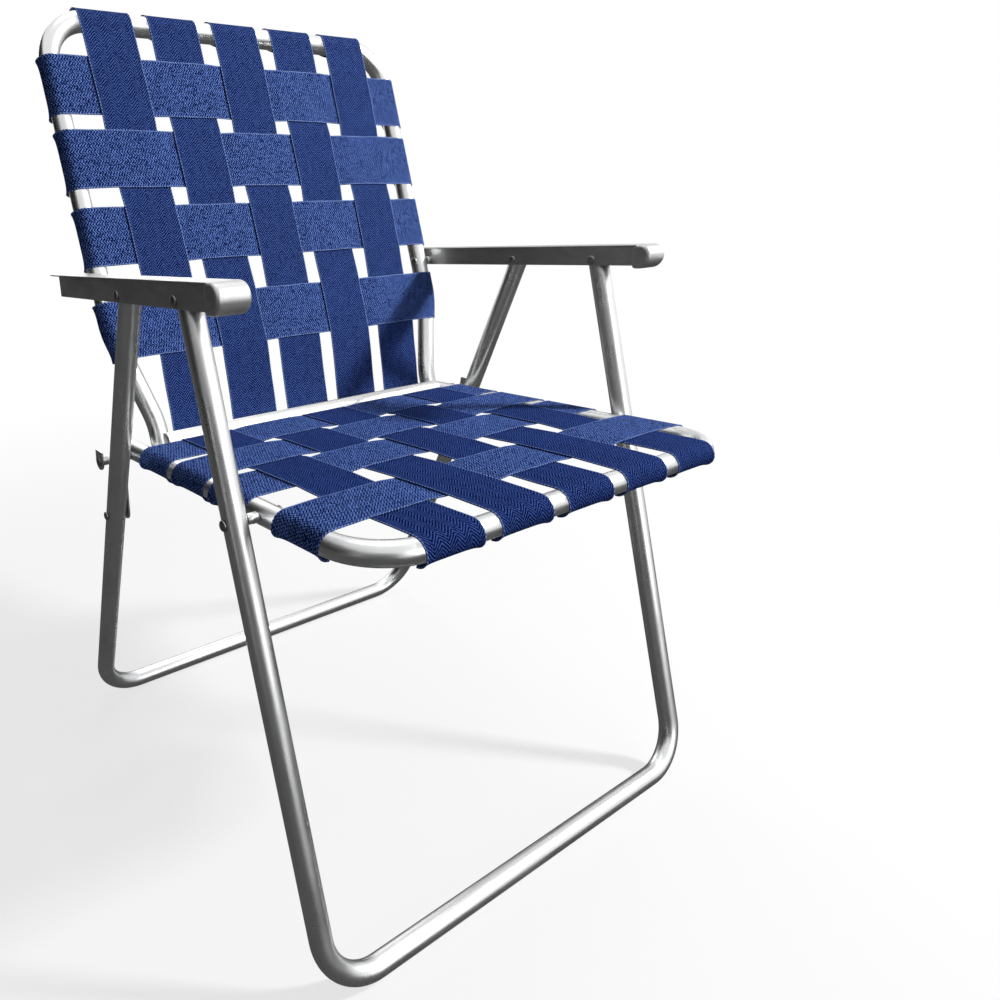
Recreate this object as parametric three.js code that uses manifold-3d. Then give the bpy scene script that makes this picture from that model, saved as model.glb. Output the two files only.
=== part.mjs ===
// Folding webbed lawn chair, open, in millimetres, with +Z up and the sitter facing -Y.
// Five bent tubes and two arms turn on rivets; flat webbing is woven over the seat and the back.

import * as THREE from 'three';
import { mergeVertices } from 'three/addons/utils/BufferGeometryUtils.js';
import Module from 'manifold-3d';

const wasm = await Module();
wasm.setup();

// Tubing
const tubeDiameter = 22.2;
const tubeWall = 1.2;
const tubeSides = 12;
const cornerRadius = 55;
const cornerSteps = 6;
const tubeRadius = tubeDiameter / 2;
const tubeReach = tubeRadius / Math.cos(Math.PI / tubeSides);

// Fits
const touchGap = 0.3;
const pinClearance = 0.3;
const cutOverrun = 2;

// Side view of the linkage
const backPivotHeight = 559.8;
const armSpan = 261.7;
const armSlope = THREE.MathUtils.degToRad(7.13);
const rearPivotReach = 147.2;
const sideLink = 189;
const sideLinkLean = THREE.MathUtils.degToRad(22.9);
const backLean = THREE.MathUtils.degToRad(25);
const rearLegLean = THREE.MathUtils.degToRad(14.84);
const seatSlope = THREE.MathUtils.degToRad(6.5);
const seatFrontReach = 136.6;
const seatTail = 17;
const backTopReach = 298;
const footTail = 10;
const legHeadTail = 8;

// Lanes across the chair
const seatWidth = 486.6;
const railToFootGap = 5.1;
const railToLegGap = 11.1;
const channelPlay = 1.3;
const flangeThickness = 1.5;
const armToBackGap = 7.5;

// Back frame
const joggleTopDrop = 52;
const joggleBottomDrop = 157;
const joggleRadius = 100;
const joggleSteps = 2;
const crossTubeRise = 15.2;
const crossTubeLead = THREE.MathUtils.degToRad(42.3);
const crossTubeLap = 1.5;

// Arms
const armPlateWidth = 31.2;
const armPlateThickness = 1.5;
const armPlateRise = 16.2;
const flangeDrop = 6.2;
const noseReach = 72.6;
const noseDrop = 6.8;
const noseSteps = 8;
const outerFlangeTail = 2;
const innerFlangeTail = 13;
const armTipReach = 51;
const armTipStart = 8;
const armTipSteps = 8;

// Rivets, spacers and links
const pinRadius = 2.5;
const headRadius = 5;
const headHeight = 2.2;
const headCrownShare = 0.6;
const turnedSides = 10;
const spacerRadius = 5;
const linkLength = 66;
const linkWidth = 17;
const linkThickness = 2;
const earThickness = 2;
const earRadius = 9.5;
const earReach = 15;
const earSpread = THREE.MathUtils.degToRad(70);
const arcSteps = 6;

// Webbing
const webWidth = 65;
const webThickness = 1.2;
const wrapSteps = 9;
const flatMargin = 1.5;
const strapGap = 16.7;
const seatEdgeGap = 29.7;
const backTopEdgeGap = 28.7;
const backFootEdgeGap = 7.8;
const rowBeforePivot = 23.3;
const rowBehindPivot = 17.6;
const lastRowToCross = 17.6;
const topRowToTube = 45.6;
const rowAbovePivot = 20.4;
const rowBelowPivot = 19;
const seatGapShares = [0, 0.451, 0.546];
const backGapShares = [0, 0.568, 0.432];
const taperedEdgeCount = 5;
const seatStrapEnd = THREE.MathUtils.degToRad(257);
const backStrapEnd = THREE.MathUtils.degToRad(-163);
const lowerWrapSteps = 4;

// Heights at which webbing lies over a tube
const wrapInner = tubeReach + touchGap;
const wrapMiddle = wrapInner + webThickness / 2;
const overLift = webThickness + touchGap;

// Colours
const aluminium = { color: 0xc9cbce, roughness: 0.32, metalness: 1 };
const armMetal = { color: 0xa9abae, roughness: 0.28, metalness: 1 };
const rivetSteel = { color: 0x8d8f92, roughness: 0.35, metalness: 1 };
const webbing = { color: 0x1f3f8f, roughness: 0.85, metalness: 0 };

// Pivots in the side plane, as (y, z) pairs
const sidePoint = (y, z) => new THREE.Vector2(y, z);
const downLink = sidePoint(-sideLink * Math.sin(sideLinkLean), -sideLink * Math.cos(sideLinkLean));
const towardFront = sidePoint(-Math.cos(armSlope), Math.sin(armSlope));
const backPivot = sidePoint(0, backPivotHeight);
const frontLegPivot = backPivot.clone().addScaledVector(towardFront, armSpan);
const rearLegPivot = backPivot.clone().addScaledVector(towardFront, rearPivotReach);
const seatBackPivot = backPivot.clone().add(downLink);
const seatLegPivot = frontLegPivot.clone().add(downLink);

// Lanes, from the seat rails inward and outward
const seatLane = seatWidth / 2;
const footLane = seatLane - 2 * tubeReach - railToFootGap;
const legLane = seatLane + 2 * tubeReach + railToLegGap;
const channelHalf = tubeReach + channelPlay + flangeThickness;
const backLane = legLane - channelHalf - armToBackGap - tubeReach;

// Planes: each has an origin in the side view and a direction that its own y axis points in
function makePlane(origin, along) {
	return { origin, along };
}
const backUp = sidePoint(Math.sin(backLean), Math.cos(backLean));
const backSetback = sideLink * Math.sin(backLean - sideLinkLean) / 2;
const backOrigin = sidePoint(
	backPivot.x + backSetback * Math.cos(backLean),
	backPivot.y - backSetback * Math.sin(backLean),
);
const backPlane = makePlane(backOrigin, backUp);
const railMiddle = seatBackPivot.clone().add(seatLegPivot).multiplyScalar(0.5);
const railLine = sidePoint(Math.cos(seatSlope), -Math.sin(seatSlope));
const frontTube = railMiddle.clone().addScaledVector(railLine, -armSpan / 2 - seatFrontReach);
const seatPlane = makePlane(frontTube, railLine);
const legUp = sidePoint(Math.sin(sideLinkLean), Math.cos(sideLinkLean));
const frontLegPlane = makePlane(frontLegPivot, legUp);
const rearLegUp = sidePoint(-Math.sin(rearLegLean), Math.cos(rearLegLean));
const rearLegPlane = makePlane(rearLegPivot, rearLegUp);
const armPlane = makePlane(backPivot, towardFront.clone().negate());

function planeAngle(plane) {
	return Math.atan2(plane.along.y, plane.along.x);
}

// A side-view point in a plane's own terms: x along it, y square to it
function inPlane(plane, point) {
	const offset = point.clone().sub(plane.origin);
	const along = plane.along;
	return sidePoint(offset.dot(along), offset.y * along.x - offset.x * along.y);
}

// The farthest front and rear of the chair set the middle of its box
const frontFloorY = frontLegPivot.x - Math.tan(sideLinkLean) * (frontLegPivot.y - tubeRadius);
const topTube = backOrigin.clone().addScaledVector(backUp, backTopReach);
const boxMiddleY = (frontFloorY - tubeRadius + topTube.x + wrapInner + webThickness) / 2;

const chair = new THREE.Group();
chair.position.y = -boxMiddleY;

function planeGroup(plane) {
	const group = new THREE.Group();
	group.position.set(0, plane.origin.x, plane.origin.y);
	group.rotation.x = planeAngle(plane);
	chair.add(group);
	return group;
}

const backGroup = planeGroup(backPlane);
const seatGroup = planeGroup(seatPlane);
const frontLegGroup = planeGroup(frontLegPlane);
const rearLegGroup = planeGroup(rearLegPlane);
const armGroup = planeGroup(armPlane);

function addPiece(parent, name, geometry, look, position = [0, 0, 0]) {
	const mesh = new THREE.Mesh(geometry, new THREE.MeshStandardMaterial(look));
	mesh.name = name;
	mesh.position.set(...position);
	parent.add(mesh);
	return mesh;
}

// Solids and cuts
function solidOf(geometry) {
	const bare = geometry.clone();
	bare.deleteAttribute('normal');
	bare.deleteAttribute('uv');
	const merged = mergeVertices(bare);
	return new wasm.Manifold(new wasm.Mesh({
		numProp: 3,
		vertProperties: Float32Array.from(merged.attributes.position.array),
		triVerts: Uint32Array.from(merged.index.array),
	}));
}

function geometryOf(solid) {
	const mesh = solid.getMesh();
	const geometry = new THREE.BufferGeometry();
	geometry.setAttribute('position', new THREE.BufferAttribute(mesh.vertProperties, 3));
	geometry.setIndex(new THREE.BufferAttribute(mesh.triVerts, 1));
	geometry.computeVertexNormals();
	return geometry;
}

// A round bar along X between two x values, at a plane's own (along, square) point
function crossBar(radius, fromX, toX, point) {
	const bar = new THREE.CylinderGeometry(radius, radius, toX - fromX, tubeSides);
	bar.rotateZ(Math.PI / 2);
	bar.translate((fromX + toX) / 2, point.x, point.y);
	return bar;
}

function drill(solid, radius, fromX, toX, point) {
	return solid.subtract(solidOf(crossBar(radius, fromX, toX, point)));
}

function drillBothSides(solid, radius, fromX, toX, point) {
	const right = drill(solid, radius, fromX, toX, point);
	return drill(right, radius, -toX, -fromX, point);
}

// Bent tubes
class BendPath extends THREE.Curve {
	constructor(points, tangents) {
		super();
		this.points = points;
		this.tangents = tangents;
	}

	nearest(share) {
		return Math.round(share * (this.points.length - 1));
	}

	getPoint(share, target = new THREE.Vector3()) {
		return target.copy(this.points[this.nearest(share)]);
	}

	getTangentAt(share, target = new THREE.Vector3()) {
		return target.copy(this.tangents[this.nearest(share)]);
	}

	getSpacedPoints() {
		return this.points.map((point) => point.clone());
	}
}

// Straight runs between corners, with a ring at each end and a few rings round each bend
function bentPath(corners) {
	const points = [];
	const tangents = [];
	const heading = (from, to) => to.clone().sub(from).normalize();
	const place = (flat, tangent) => {
		points.push(new THREE.Vector3(flat.x, flat.y, 0));
		tangents.push(new THREE.Vector3(tangent.x, tangent.y, 0).normalize());
	};
	place(corners[0].at, heading(corners[0].at, corners[1].at));
	for (let index = 1; index < corners.length - 1; index += 1) {
		const { at, radius, steps } = corners[index];
		const inward = heading(corners[index - 1].at, at);
		const outward = heading(at, corners[index + 1].at);
		const turn = Math.acos(inward.dot(outward));
		const side = outward.clone().addScaledVector(inward, -inward.dot(outward)).normalize();
		const start = at.clone().addScaledVector(inward, -radius * Math.tan(turn / 2));
		for (let step = 0; step <= steps; step += 1) {
			const angle = turn * step / steps;
			const flat = start.clone();
			flat.addScaledVector(inward, radius * Math.sin(angle));
			flat.addScaledVector(side, radius * (1 - Math.cos(angle)));
			const tangent = inward.clone().multiplyScalar(Math.cos(angle));
			tangent.addScaledVector(side, Math.sin(angle));
			place(flat, tangent);
		}
	}
	const last = corners.length - 1;
	place(corners[last].at, heading(corners[last - 1].at, corners[last].at));
	return new BendPath(points, tangents);
}

function ringPoints(radius, turn) {
	const reach = radius / Math.cos(Math.PI / tubeSides);
	return Array.from({ length: tubeSides }, (unused, index) => {
		const angle = turn + 2 * Math.PI * (index + 0.5) / tubeSides;
		return new THREE.Vector2(reach * Math.cos(angle), reach * Math.sin(angle));
	});
}

// One facet of the tube faces the section angle that turn gives
function tubeGeometry(path, turn = 0) {
	const section = new THREE.Shape(ringPoints(tubeRadius, turn));
	section.holes.push(new THREE.Path(ringPoints(tubeRadius - tubeWall, turn)));
	const steps = path.points.length - 1;
	return new THREE.ExtrudeGeometry(section, { steps, extrudePath: path, bevelEnabled: false });
}

const corner = (x, y, radius = 0, steps = 0) => ({ at: new THREE.Vector2(x, y), radius, steps });

// Leg frames: a U with its bar on the floor and a facet of the bar flat on it
function legFrame(plane, drops) {
	const floorDrop = -(plane.origin.y - tubeRadius) / plane.along.y;
	const path = bentPath([
		corner(-legLane, legHeadTail),
		corner(-legLane, floorDrop, cornerRadius, cornerSteps),
		corner(legLane, floorDrop, cornerRadius, cornerSteps),
		corner(legLane, legHeadTail),
	]);
	const bore = pinRadius + pinClearance;
	const reach = tubeReach + cutOverrun;
	let solid = solidOf(tubeGeometry(path, -planeAngle(plane)));
	for (const point of drops) {
		solid = drillBothSides(solid, bore, legLane - reach, legLane + reach, inPlane(plane, point));
	}
	return geometryOf(solid);
}

// The link leaves the seat pivot and meets the rear leg lower down
const pivotInRearLeg = inPlane(rearLegPlane, seatBackPivot);
const linkRun = Math.sqrt(linkLength ** 2 - pivotInRearLeg.y ** 2);
const linkFoot = rearLegPivot.clone().addScaledVector(rearLegUp, pivotInRearLeg.x - linkRun);

const frontLeg = legFrame(frontLegPlane, [frontLegPivot, seatLegPivot]);
addPiece(frontLegGroup, 'front_leg_frame', frontLeg, aluminium);
addPiece(rearLegGroup, 'rear_leg_frame', legFrame(rearLegPlane, [rearLegPivot, linkFoot]), aluminium);

// Seat frame: a U with its bar across the front
const seatPivotInSeat = inPlane(seatPlane, seatBackPivot);
const railEnd = seatPivotInSeat.x + seatTail;
function seatFrame() {
	const path = bentPath([
		corner(-seatLane, railEnd),
		corner(-seatLane, 0, cornerRadius, cornerSteps),
		corner(seatLane, 0, cornerRadius, cornerSteps),
		corner(seatLane, railEnd),
	]);
	const bore = pinRadius + pinClearance;
	const reach = tubeReach + cutOverrun;
	let solid = solidOf(tubeGeometry(path));
	for (const point of [seatLegPivot, seatBackPivot]) {
		solid = drillBothSides(solid, bore, seatLane - reach, seatLane + reach, inPlane(seatPlane, point));
	}
	return geometryOf(solid);
}
addPiece(seatGroup, 'seat_frame', seatFrame(), aluminium);

// Back frame: an upside-down U, drawn in at the foot so that the seat rails pass outside it
const pivotInBack = inPlane(backPlane, seatBackPivot);
const footEnd = pivotInBack.x - footTail;
const backPath = bentPath([
	corner(-footLane, footEnd),
	corner(-footLane, -joggleBottomDrop, joggleRadius, joggleSteps),
	corner(-backLane, -joggleTopDrop, joggleRadius, joggleSteps),
	corner(-backLane, backTopReach, cornerRadius, cornerSteps),
	corner(backLane, backTopReach, cornerRadius, cornerSteps),
	corner(backLane, -joggleTopDrop, joggleRadius, joggleSteps),
	corner(footLane, -joggleBottomDrop, joggleRadius, joggleSteps),
	corner(footLane, footEnd),
]);

function backFrame() {
	const bore = pinRadius + pinClearance;
	const reach = tubeReach + cutOverrun;
	const armPoint = inPlane(backPlane, backPivot);
	const solid = solidOf(tubeGeometry(backPath));
	const atArms = drillBothSides(solid, bore, backLane - reach, backLane + reach, armPoint);
	return geometryOf(drillBothSides(atArms, bore, footLane - reach, footLane + reach, pivotInBack));
}
addPiece(backGroup, 'back_frame', backFrame(), aluminium);

// Distance of the back frame's side tube from the middle, at a height along the back
function backTubeAt(height) {
	const points = backPath.points.slice(0, backPath.points.length / 2);
	const above = points.findIndex((point) => point.y > height);
	const high = points[above];
	const low = points[above - 1];
	const share = (height - low.y) / (high.y - low.y);
	return -(low.x + (high.x - low.x) * share);
}

// Cross tube at the foot of the back, coped against the side tubes and cleared for the rivet heads
const crossTubeAngle = Math.PI - Math.PI / 2 + crossTubeLead;
const crossTubeCentre = seatBackPivot.clone().add(sidePoint(
	crossTubeRise * Math.cos(crossTubeAngle),
	crossTubeRise * Math.sin(crossTubeAngle),
));
const crossInBack = inPlane(backPlane, crossTubeCentre);

function backCrossTube() {
	const half = footLane - crossTubeLap;
	const path = new BendPath(
		[new THREE.Vector3(-half, 0, 0), new THREE.Vector3(half, 0, 0)],
		[new THREE.Vector3(1, 0, 0), new THREE.Vector3(1, 0, 0)],
	);
	let solid = solidOf(tubeGeometry(path).translate(0, crossInBack.x, crossInBack.y));
	for (const side of [-1, 1]) {
		const cope = wrapInner / Math.cos(Math.PI / tubeSides);
		const sideTube = new THREE.CylinderGeometry(cope, cope, sideLink, tubeSides);
		sideTube.translate(side * footLane, pivotInBack.x, 0);
		solid = solid.subtract(solidOf(sideTube));
	}
	const headReach = headHeight + 2 * touchGap;
	const inner = footLane - tubeReach - headReach;
	return geometryOf(drillBothSides(solid, headRadius + touchGap, inner, footLane, pivotInBack));
}
addPiece(backGroup, 'back_cross_tube', backCrossTube(), aluminium);

// Arms: a pressed channel with a plate rolled over its front end and a tapered tail
function arcPoints(centre, radius, fromAngle, toAngle, steps) {
	return Array.from({ length: steps + 1 }, (unused, index) => {
		const angle = fromAngle + (toAngle - fromAngle) * index / steps;
		return new THREE.Vector2(centre.x + radius * Math.cos(angle), centre.y + radius * Math.sin(angle));
	});
}

// An outline in (along, up), given a thickness across the chair
function sideExtrusion(outline, fromX, toX) {
	const shape = new THREE.Shape(outline);
	const geometry = new THREE.ExtrudeGeometry(shape, { depth: toX - fromX, bevelEnabled: false });
	const basis = new THREE.Matrix4().makeBasis(
		new THREE.Vector3(0, 1, 0),
		new THREE.Vector3(0, 0, 1),
		new THREE.Vector3(1, 0, 0),
	);
	return geometry.applyMatrix4(basis).translate(fromX, 0, 0);
}

const noseRadius = (armPlateRise + noseDrop) / 2;
const noseCentre = sidePoint(-armSpan - noseReach + noseRadius, armPlateRise - noseRadius);
const plateUnderside = armPlateRise - armPlateThickness;

function armPlateOutline() {
	const quarter = Math.PI / 2;
	const inner = noseRadius - armPlateThickness;
	return [
		sidePoint(armTipReach, plateUnderside),
		sidePoint(armTipReach, armPlateRise),
		...arcPoints(noseCentre, noseRadius, quarter, 3 * quarter, noseSteps),
		...arcPoints(noseCentre, inner, 3 * quarter, quarter, noseSteps),
	];
}

function flangeOutline(tail) {
	const quarter = Math.PI / 2;
	const radius = noseRadius - armPlateThickness / 2;
	return [
		sidePoint(tail, -flangeDrop),
		sidePoint(tail, armPlateRise - armPlateThickness / 2),
		...arcPoints(noseCentre, radius, quarter, 3 * quarter, noseSteps),
		sidePoint(noseCentre.x + noseRadius, -flangeDrop),
	];
}

function armPlanOutline() {
	const half = armPlateWidth / 2;
	const run = armTipReach - armTipStart;
	const front = -armSpan - noseReach - cutOverrun;
	const tip = Array.from({ length: armTipSteps + 1 }, (unused, index) => {
		const angle = Math.PI * index / armTipSteps;
		return new THREE.Vector2(half * Math.cos(angle), armTipStart + run * Math.sin(angle));
	});
	return [new THREE.Vector2(-half, front), new THREE.Vector2(half, front), ...tip];
}

function armGeometry(side) {
	const half = armPlateWidth / 2;
	const depth = 2 * (armPlateRise + noseDrop);
	const plan = new THREE.ExtrudeGeometry(new THREE.Shape(armPlanOutline()), { depth, bevelEnabled: false });
	plan.translate(0, 0, -depth / 2);
	const outward = channelHalf - flangeThickness;
	const tails = side > 0 ? [innerFlangeTail, outerFlangeTail] : [outerFlangeTail, innerFlangeTail];
	let solid = solidOf(sideExtrusion(armPlateOutline(), -half, half));
	solid = solid.add(solidOf(sideExtrusion(flangeOutline(tails[0]), -channelHalf, -outward)));
	solid = solid.add(solidOf(sideExtrusion(flangeOutline(tails[1]), outward, channelHalf)));
	solid = solid.intersect(solidOf(plan));
	const bore = pinRadius + pinClearance;
	const reach = channelHalf + cutOverrun;
	for (const pivot of [frontLegPivot, rearLegPivot]) {
		solid = drill(solid, bore, -reach, reach, inPlane(armPlane, pivot));
	}
	const innerFrom = side > 0 ? -reach : 0;
	solid = drill(solid, bore, innerFrom, innerFrom + reach, inPlane(armPlane, backPivot));
	return geometryOf(solid);
}

const sides = [{ name: 'left', sign: -1 }, { name: 'right', sign: 1 }];
for (const { name, sign } of sides) {
	addPiece(armGroup, `arm_${name}`, armGeometry(sign), armMetal, [sign * legLane, 0, 0]);
}

// Turned pieces, made along X: fromX is the end nearer the middle of the chair
function turned(profile) {
	const points = profile.map(([radius, x]) => new THREE.Vector2(radius, x));
	return new THREE.LatheGeometry(points, turnedSides).rotateZ(-Math.PI / 2);
}

function rivetProfile(fromX, toX, headAtStart = true, headAtEnd = true) {
	const crown = headRadius * headCrownShare;
	const shoulder = headHeight / 2;
	const headAt = (x, outward) => [
		[headRadius, x],
		[headRadius, x + outward * shoulder],
		[crown, x + outward * headHeight],
		[0, x + outward * headHeight],
	];
	const start = headAtStart ? headAt(fromX, -1).reverse() : [[0, fromX]];
	const finish = headAtEnd ? headAt(toX, 1) : [[0, toX]];
	return [...start, [pinRadius, fromX], [pinRadius, toX], ...finish];
}

function spacerProfile(fromX, toX) {
	const bore = pinRadius + pinClearance;
	return [[bore, fromX], [spacerRadius, fromX], [spacerRadius, toX], [bore, toX], [bore, fromX]];
}

// Places a turned piece and its mirror image at a side-view point
function addTurnedPair(name, profile, point, look) {
	for (const { name: side, sign } of sides) {
		const holder = new THREE.Group();
		holder.position.set(0, point.x, point.y);
		holder.rotation.z = sign > 0 ? 0 : Math.PI;
		chair.add(holder);
		addPiece(holder, `${name}_${side}`, turned(profile), look);
	}
}

// Arm rivets
const armOutside = channelHalf + touchGap;
const legRivetProfile = rivetProfile(legLane - armOutside, legLane + armOutside);
addTurnedPair('front_leg_rivet', legRivetProfile, frontLegPivot, rivetSteel);
addTurnedPair('rear_leg_rivet', legRivetProfile, rearLegPivot, rivetSteel);
const innerFlangeInside = legLane - channelHalf + flangeThickness;
const backRivetProfile = rivetProfile(backLane - tubeReach - touchGap, innerFlangeInside + touchGap);
addTurnedPair('arm_back_rivet', backRivetProfile, backPivot, rivetSteel);
const armSpacer = spacerProfile(backLane + tubeReach + touchGap, legLane - channelHalf - touchGap);
addTurnedPair('arm_back_spacer', armSpacer, backPivot, aluminium);

// Seat to front leg
const railOutside = seatLane + tubeReach + touchGap;
const legInside = legLane - tubeReach - touchGap;
const legOutside = legLane + tubeReach + touchGap;
const seatRivetProfile = rivetProfile(seatLane - tubeReach - touchGap, legOutside);
addTurnedPair('seat_leg_rivet', seatRivetProfile, seatLegPivot, rivetSteel);
addTurnedPair('seat_leg_spacer', spacerProfile(railOutside, legInside), seatLegPivot, aluminium);

// Main fold pin: back foot, seat rail, link plate and ear plate
const linkOuter = legInside - touchGap;
const linkInner = linkOuter - linkThickness;
const earInner = legOutside + touchGap;
const earOuter = earInner + earThickness;
const foldPinProfile = rivetProfile(footLane - tubeReach - touchGap, earOuter + touchGap);
addTurnedPair('fold_pin', foldPinProfile, seatBackPivot, rivetSteel);
const footOutside = footLane + tubeReach + touchGap;
const railInside = seatLane - tubeReach - touchGap;
addTurnedPair('foot_washer', spacerProfile(footOutside, railInside), seatBackPivot, aluminium);
addTurnedPair('link_spacer', spacerProfile(railOutside, linkInner - touchGap), seatBackPivot, aluminium);
const earSpacer = spacerProfile(linkOuter + touchGap, earInner - touchGap);
addTurnedPair('ear_spacer', earSpacer, seatBackPivot, aluminium);

// Links: a flat plate inside the rear leg and a small ear plate outside it
const linkPlane = makePlane(seatBackPivot, linkFoot.clone().sub(seatBackPivot).normalize());
const linkGroup = planeGroup(linkPlane);

function boredPlate(outline, holes, fromX, toX) {
	let solid = solidOf(sideExtrusion(outline, fromX, toX));
	for (const hole of holes) {
		solid = drill(solid, pinRadius + pinClearance, fromX - cutOverrun, toX + cutOverrun, hole);
	}
	return geometryOf(solid);
}

const linkEnd = sidePoint(linkLength, 0);
const linkOutline = [
	...arcPoints(sidePoint(0, 0), linkWidth / 2, Math.PI / 2, 3 * Math.PI / 2, arcSteps),
	...arcPoints(linkEnd, linkWidth / 2, -Math.PI / 2, Math.PI / 2, arcSteps),
];
const earTip = (turn) => sidePoint(-earReach * Math.cos(turn), earReach * Math.sin(turn));
const earOutline = [
	...arcPoints(sidePoint(0, 0), earRadius, -Math.PI / 2, Math.PI / 2, arcSteps),
	earTip(earSpread / 2),
	earTip(-earSpread / 2),
];
for (const { name, sign } of sides) {
	const span = (inner, outer) => (sign > 0 ? [inner, outer] : [-outer, -inner]);
	const [plateFrom, plateTo] = span(linkInner, linkOuter);
	const plate = boredPlate(linkOutline, [sidePoint(0, 0), linkEnd], plateFrom, plateTo);
	addPiece(linkGroup, `link_plate_${name}`, plate, aluminium);
	const [earFrom, earTo] = span(earInner, earOuter);
	const ear = boredPlate(earOutline, [sidePoint(0, 0)], earFrom, earTo);
	addPiece(linkGroup, `ear_plate_${name}`, ear, aluminium);
}

// The foot rivet of each link, parted where leg and link turn on each other
const footRivetProfile = rivetProfile(legLane - tubeReach + touchGap, legOutside, false, true);
addTurnedPair('link_foot_rivet', footRivetProfile, linkFoot, rivetSteel);
const footCapProfile = rivetProfile(linkInner - touchGap, linkOuter, true, false);
addTurnedPair('link_foot_cap', footCapProfile, linkFoot, rivetSteel);

// Webbing: a flat strip given by the courses of its edges, each a row of points and facings
function webGeometry(courses) {
	const positions = [];
	const count = courses[0].length;
	for (const course of courses) {
		for (const { at, facing } of course) {
			const half = facing.clone().setLength(webThickness / 2);
			positions.push(...at.clone().add(half).toArray());
			positions.push(...at.clone().sub(half).toArray());
		}
	}
	const index = [];
	const vertexAt = (course, step, under) => 2 * (course * count + step) + under;
	const quad = (a, b, c, d) => index.push(a, b, c, a, c, d);
	const last = courses.length - 1;
	for (let step = 0; step < count - 1; step += 1) {
		for (let course = 0; course < last; course += 1) {
			const top = [0, 1].map((k) => [0, 1].map((m) => vertexAt(course + k, step + m, 0)));
			const low = [0, 1].map((k) => [0, 1].map((m) => vertexAt(course + k, step + m, 1)));
			quad(top[0][0], top[0][1], top[1][1], top[1][0]);
			quad(low[0][0], low[1][0], low[1][1], low[0][1]);
		}
		const [a, b, c, d] = [0, 1].flatMap((m) => [0, 1].map((under) => vertexAt(0, step + m, under)));
		quad(a, b, d, c);
		const [e, f, g, h] = [0, 1].flatMap((m) => [0, 1].map((under) => vertexAt(last, step + m, under)));
		quad(e, g, h, f);
	}
	for (let course = 0; course < last; course += 1) {
		const end = count - 1;
		const [a, b, c, d] = [0, 1].flatMap((k) => [0, 1].map((under) => vertexAt(course + k, 0, under)));
		quad(a, c, d, b);
		const [e, f, g, h] = [0, 1].flatMap((k) => [0, 1].map((under) => vertexAt(course + k, end, under)));
		quad(e, f, h, g);
	}
	const geometry = new THREE.BufferGeometry();
	geometry.setAttribute('position', new THREE.Float32BufferAttribute(positions, 3));
	geometry.setIndex(index);
	geometry.computeVertexNormals();
	return geometry;
}

// Stations of a strip in a flat (u, v) view: wraps follow an arc, flats lie at a height
function arcStations(centre, radius, fromAngle, toAngle, steps, facingOut = 1) {
	return arcPoints(centre, radius, fromAngle, toAngle, steps).map((at) => ({
		u: at.x,
		v: at.y,
		facing: at.clone().sub(centre).multiplyScalar(facingOut).normalize(),
	}));
}

function flatStations(centre, height) {
	const half = webWidth / 2 + flatMargin;
	const facing = sidePoint(0, 1);
	return [centre - half, centre + half].map((u) => ({ u, v: height, facing }));
}

function heightOf(isOver) {
	return isOver ? wrapMiddle + overLift : wrapMiddle;
}

// Centres of strips side by side between two ends, as many of them as fit: before each strip goes its
// share of the room to spare
function stripCentres(start, end, gapShares) {
	const leastGap = 2 * flatMargin;
	const room = end - start + leastGap;
	const shares = gapShares.slice(0, Math.floor(room / (webWidth + leastGap)));
	const spare = room - shares.length * (webWidth + leastGap);
	let edge = start;
	return shares.map((share) => {
		const centre = edge + share * spare + webWidth / 2;
		edge = centre + webWidth / 2 + leastGap;
		return centre;
	});
}

// Lengthwise straps stand evenly between the side tubes, as many as fit between the back's feet
const strapRoom = 2 * (footLane - tubeReach - backFootEdgeGap);
const strapCount = Math.round((strapRoom + strapGap) / (webWidth + strapGap));
const strapPlaces = Array.from({ length: strapCount }, (unused, index) => index - (strapCount - 1) / 2);
function strapPitch(lane, edgeGap) {
	return (2 * (lane - tubeReach - edgeGap) - webWidth) / (strapCount - 1);
}

// A crosswise row: round one side tube, over and under the lengthwise straps, round the other
function rowStations(tubeX, wrapRadius, strapCentres, startsOver) {
	const quarter = Math.PI / 2;
	const left = arcStations(sidePoint(-tubeX, 0), wrapRadius, 3 * quarter, quarter, wrapSteps);
	const right = arcStations(sidePoint(tubeX, 0), wrapRadius, quarter, -quarter, wrapSteps);
	const middle = strapCentres.flatMap((centre, index) => {
		return flatStations(centre, heightOf((index % 2 === 0) === startsOver));
	});
	return [...left, ...middle, ...right];
}

function rowCourse(height, stations) {
	return stations.map(({ u, v, facing }) => ({
		at: new THREE.Vector3(u, height, v),
		facing: new THREE.Vector3(facing.x, 0, facing.y),
	}));
}

function strapCourse(stations, centreAt, offset) {
	return stations.map(({ u, v, facing }) => ({
		at: new THREE.Vector3(centreAt(u) + offset, u, v),
		facing: new THREE.Vector3(0, facing.x, facing.y),
	}));
}

function strapGeometry(stations, centreAt) {
	return webGeometry([webWidth / 2, -webWidth / 2].map((offset) => strapCourse(stations, centreAt, offset)));
}

// Seat webbing: rows round the rails, straps round the front tube and back to the cross tube
const crossInSeat = inPlane(seatPlane, crossTubeCentre);
const legPivotInSeat = inPlane(seatPlane, seatLegPivot);
const rearRowsStart = legPivotInSeat.x + rowBehindPivot;
const seatRowCentres = [
	legPivotInSeat.x - rowBeforePivot - webWidth / 2,
	...stripCentres(rearRowsStart, crossInSeat.x - lastRowToCross, seatGapShares),
];
const seatStrapCentres = strapPlaces.map((place) => place * strapPitch(seatLane, seatEdgeGap));
seatRowCentres.forEach((centre, row) => {
	const stations = rowStations(seatLane, wrapMiddle, seatStrapCentres, row % 2 === 0);
	const edges = [centre - webWidth / 2, centre + webWidth / 2];
	const courses = edges.map((height) => rowCourse(height, stations));
	addPiece(seatGroup, `seat_row_${row + 1}`, webGeometry(courses), webbing);
});

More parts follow.
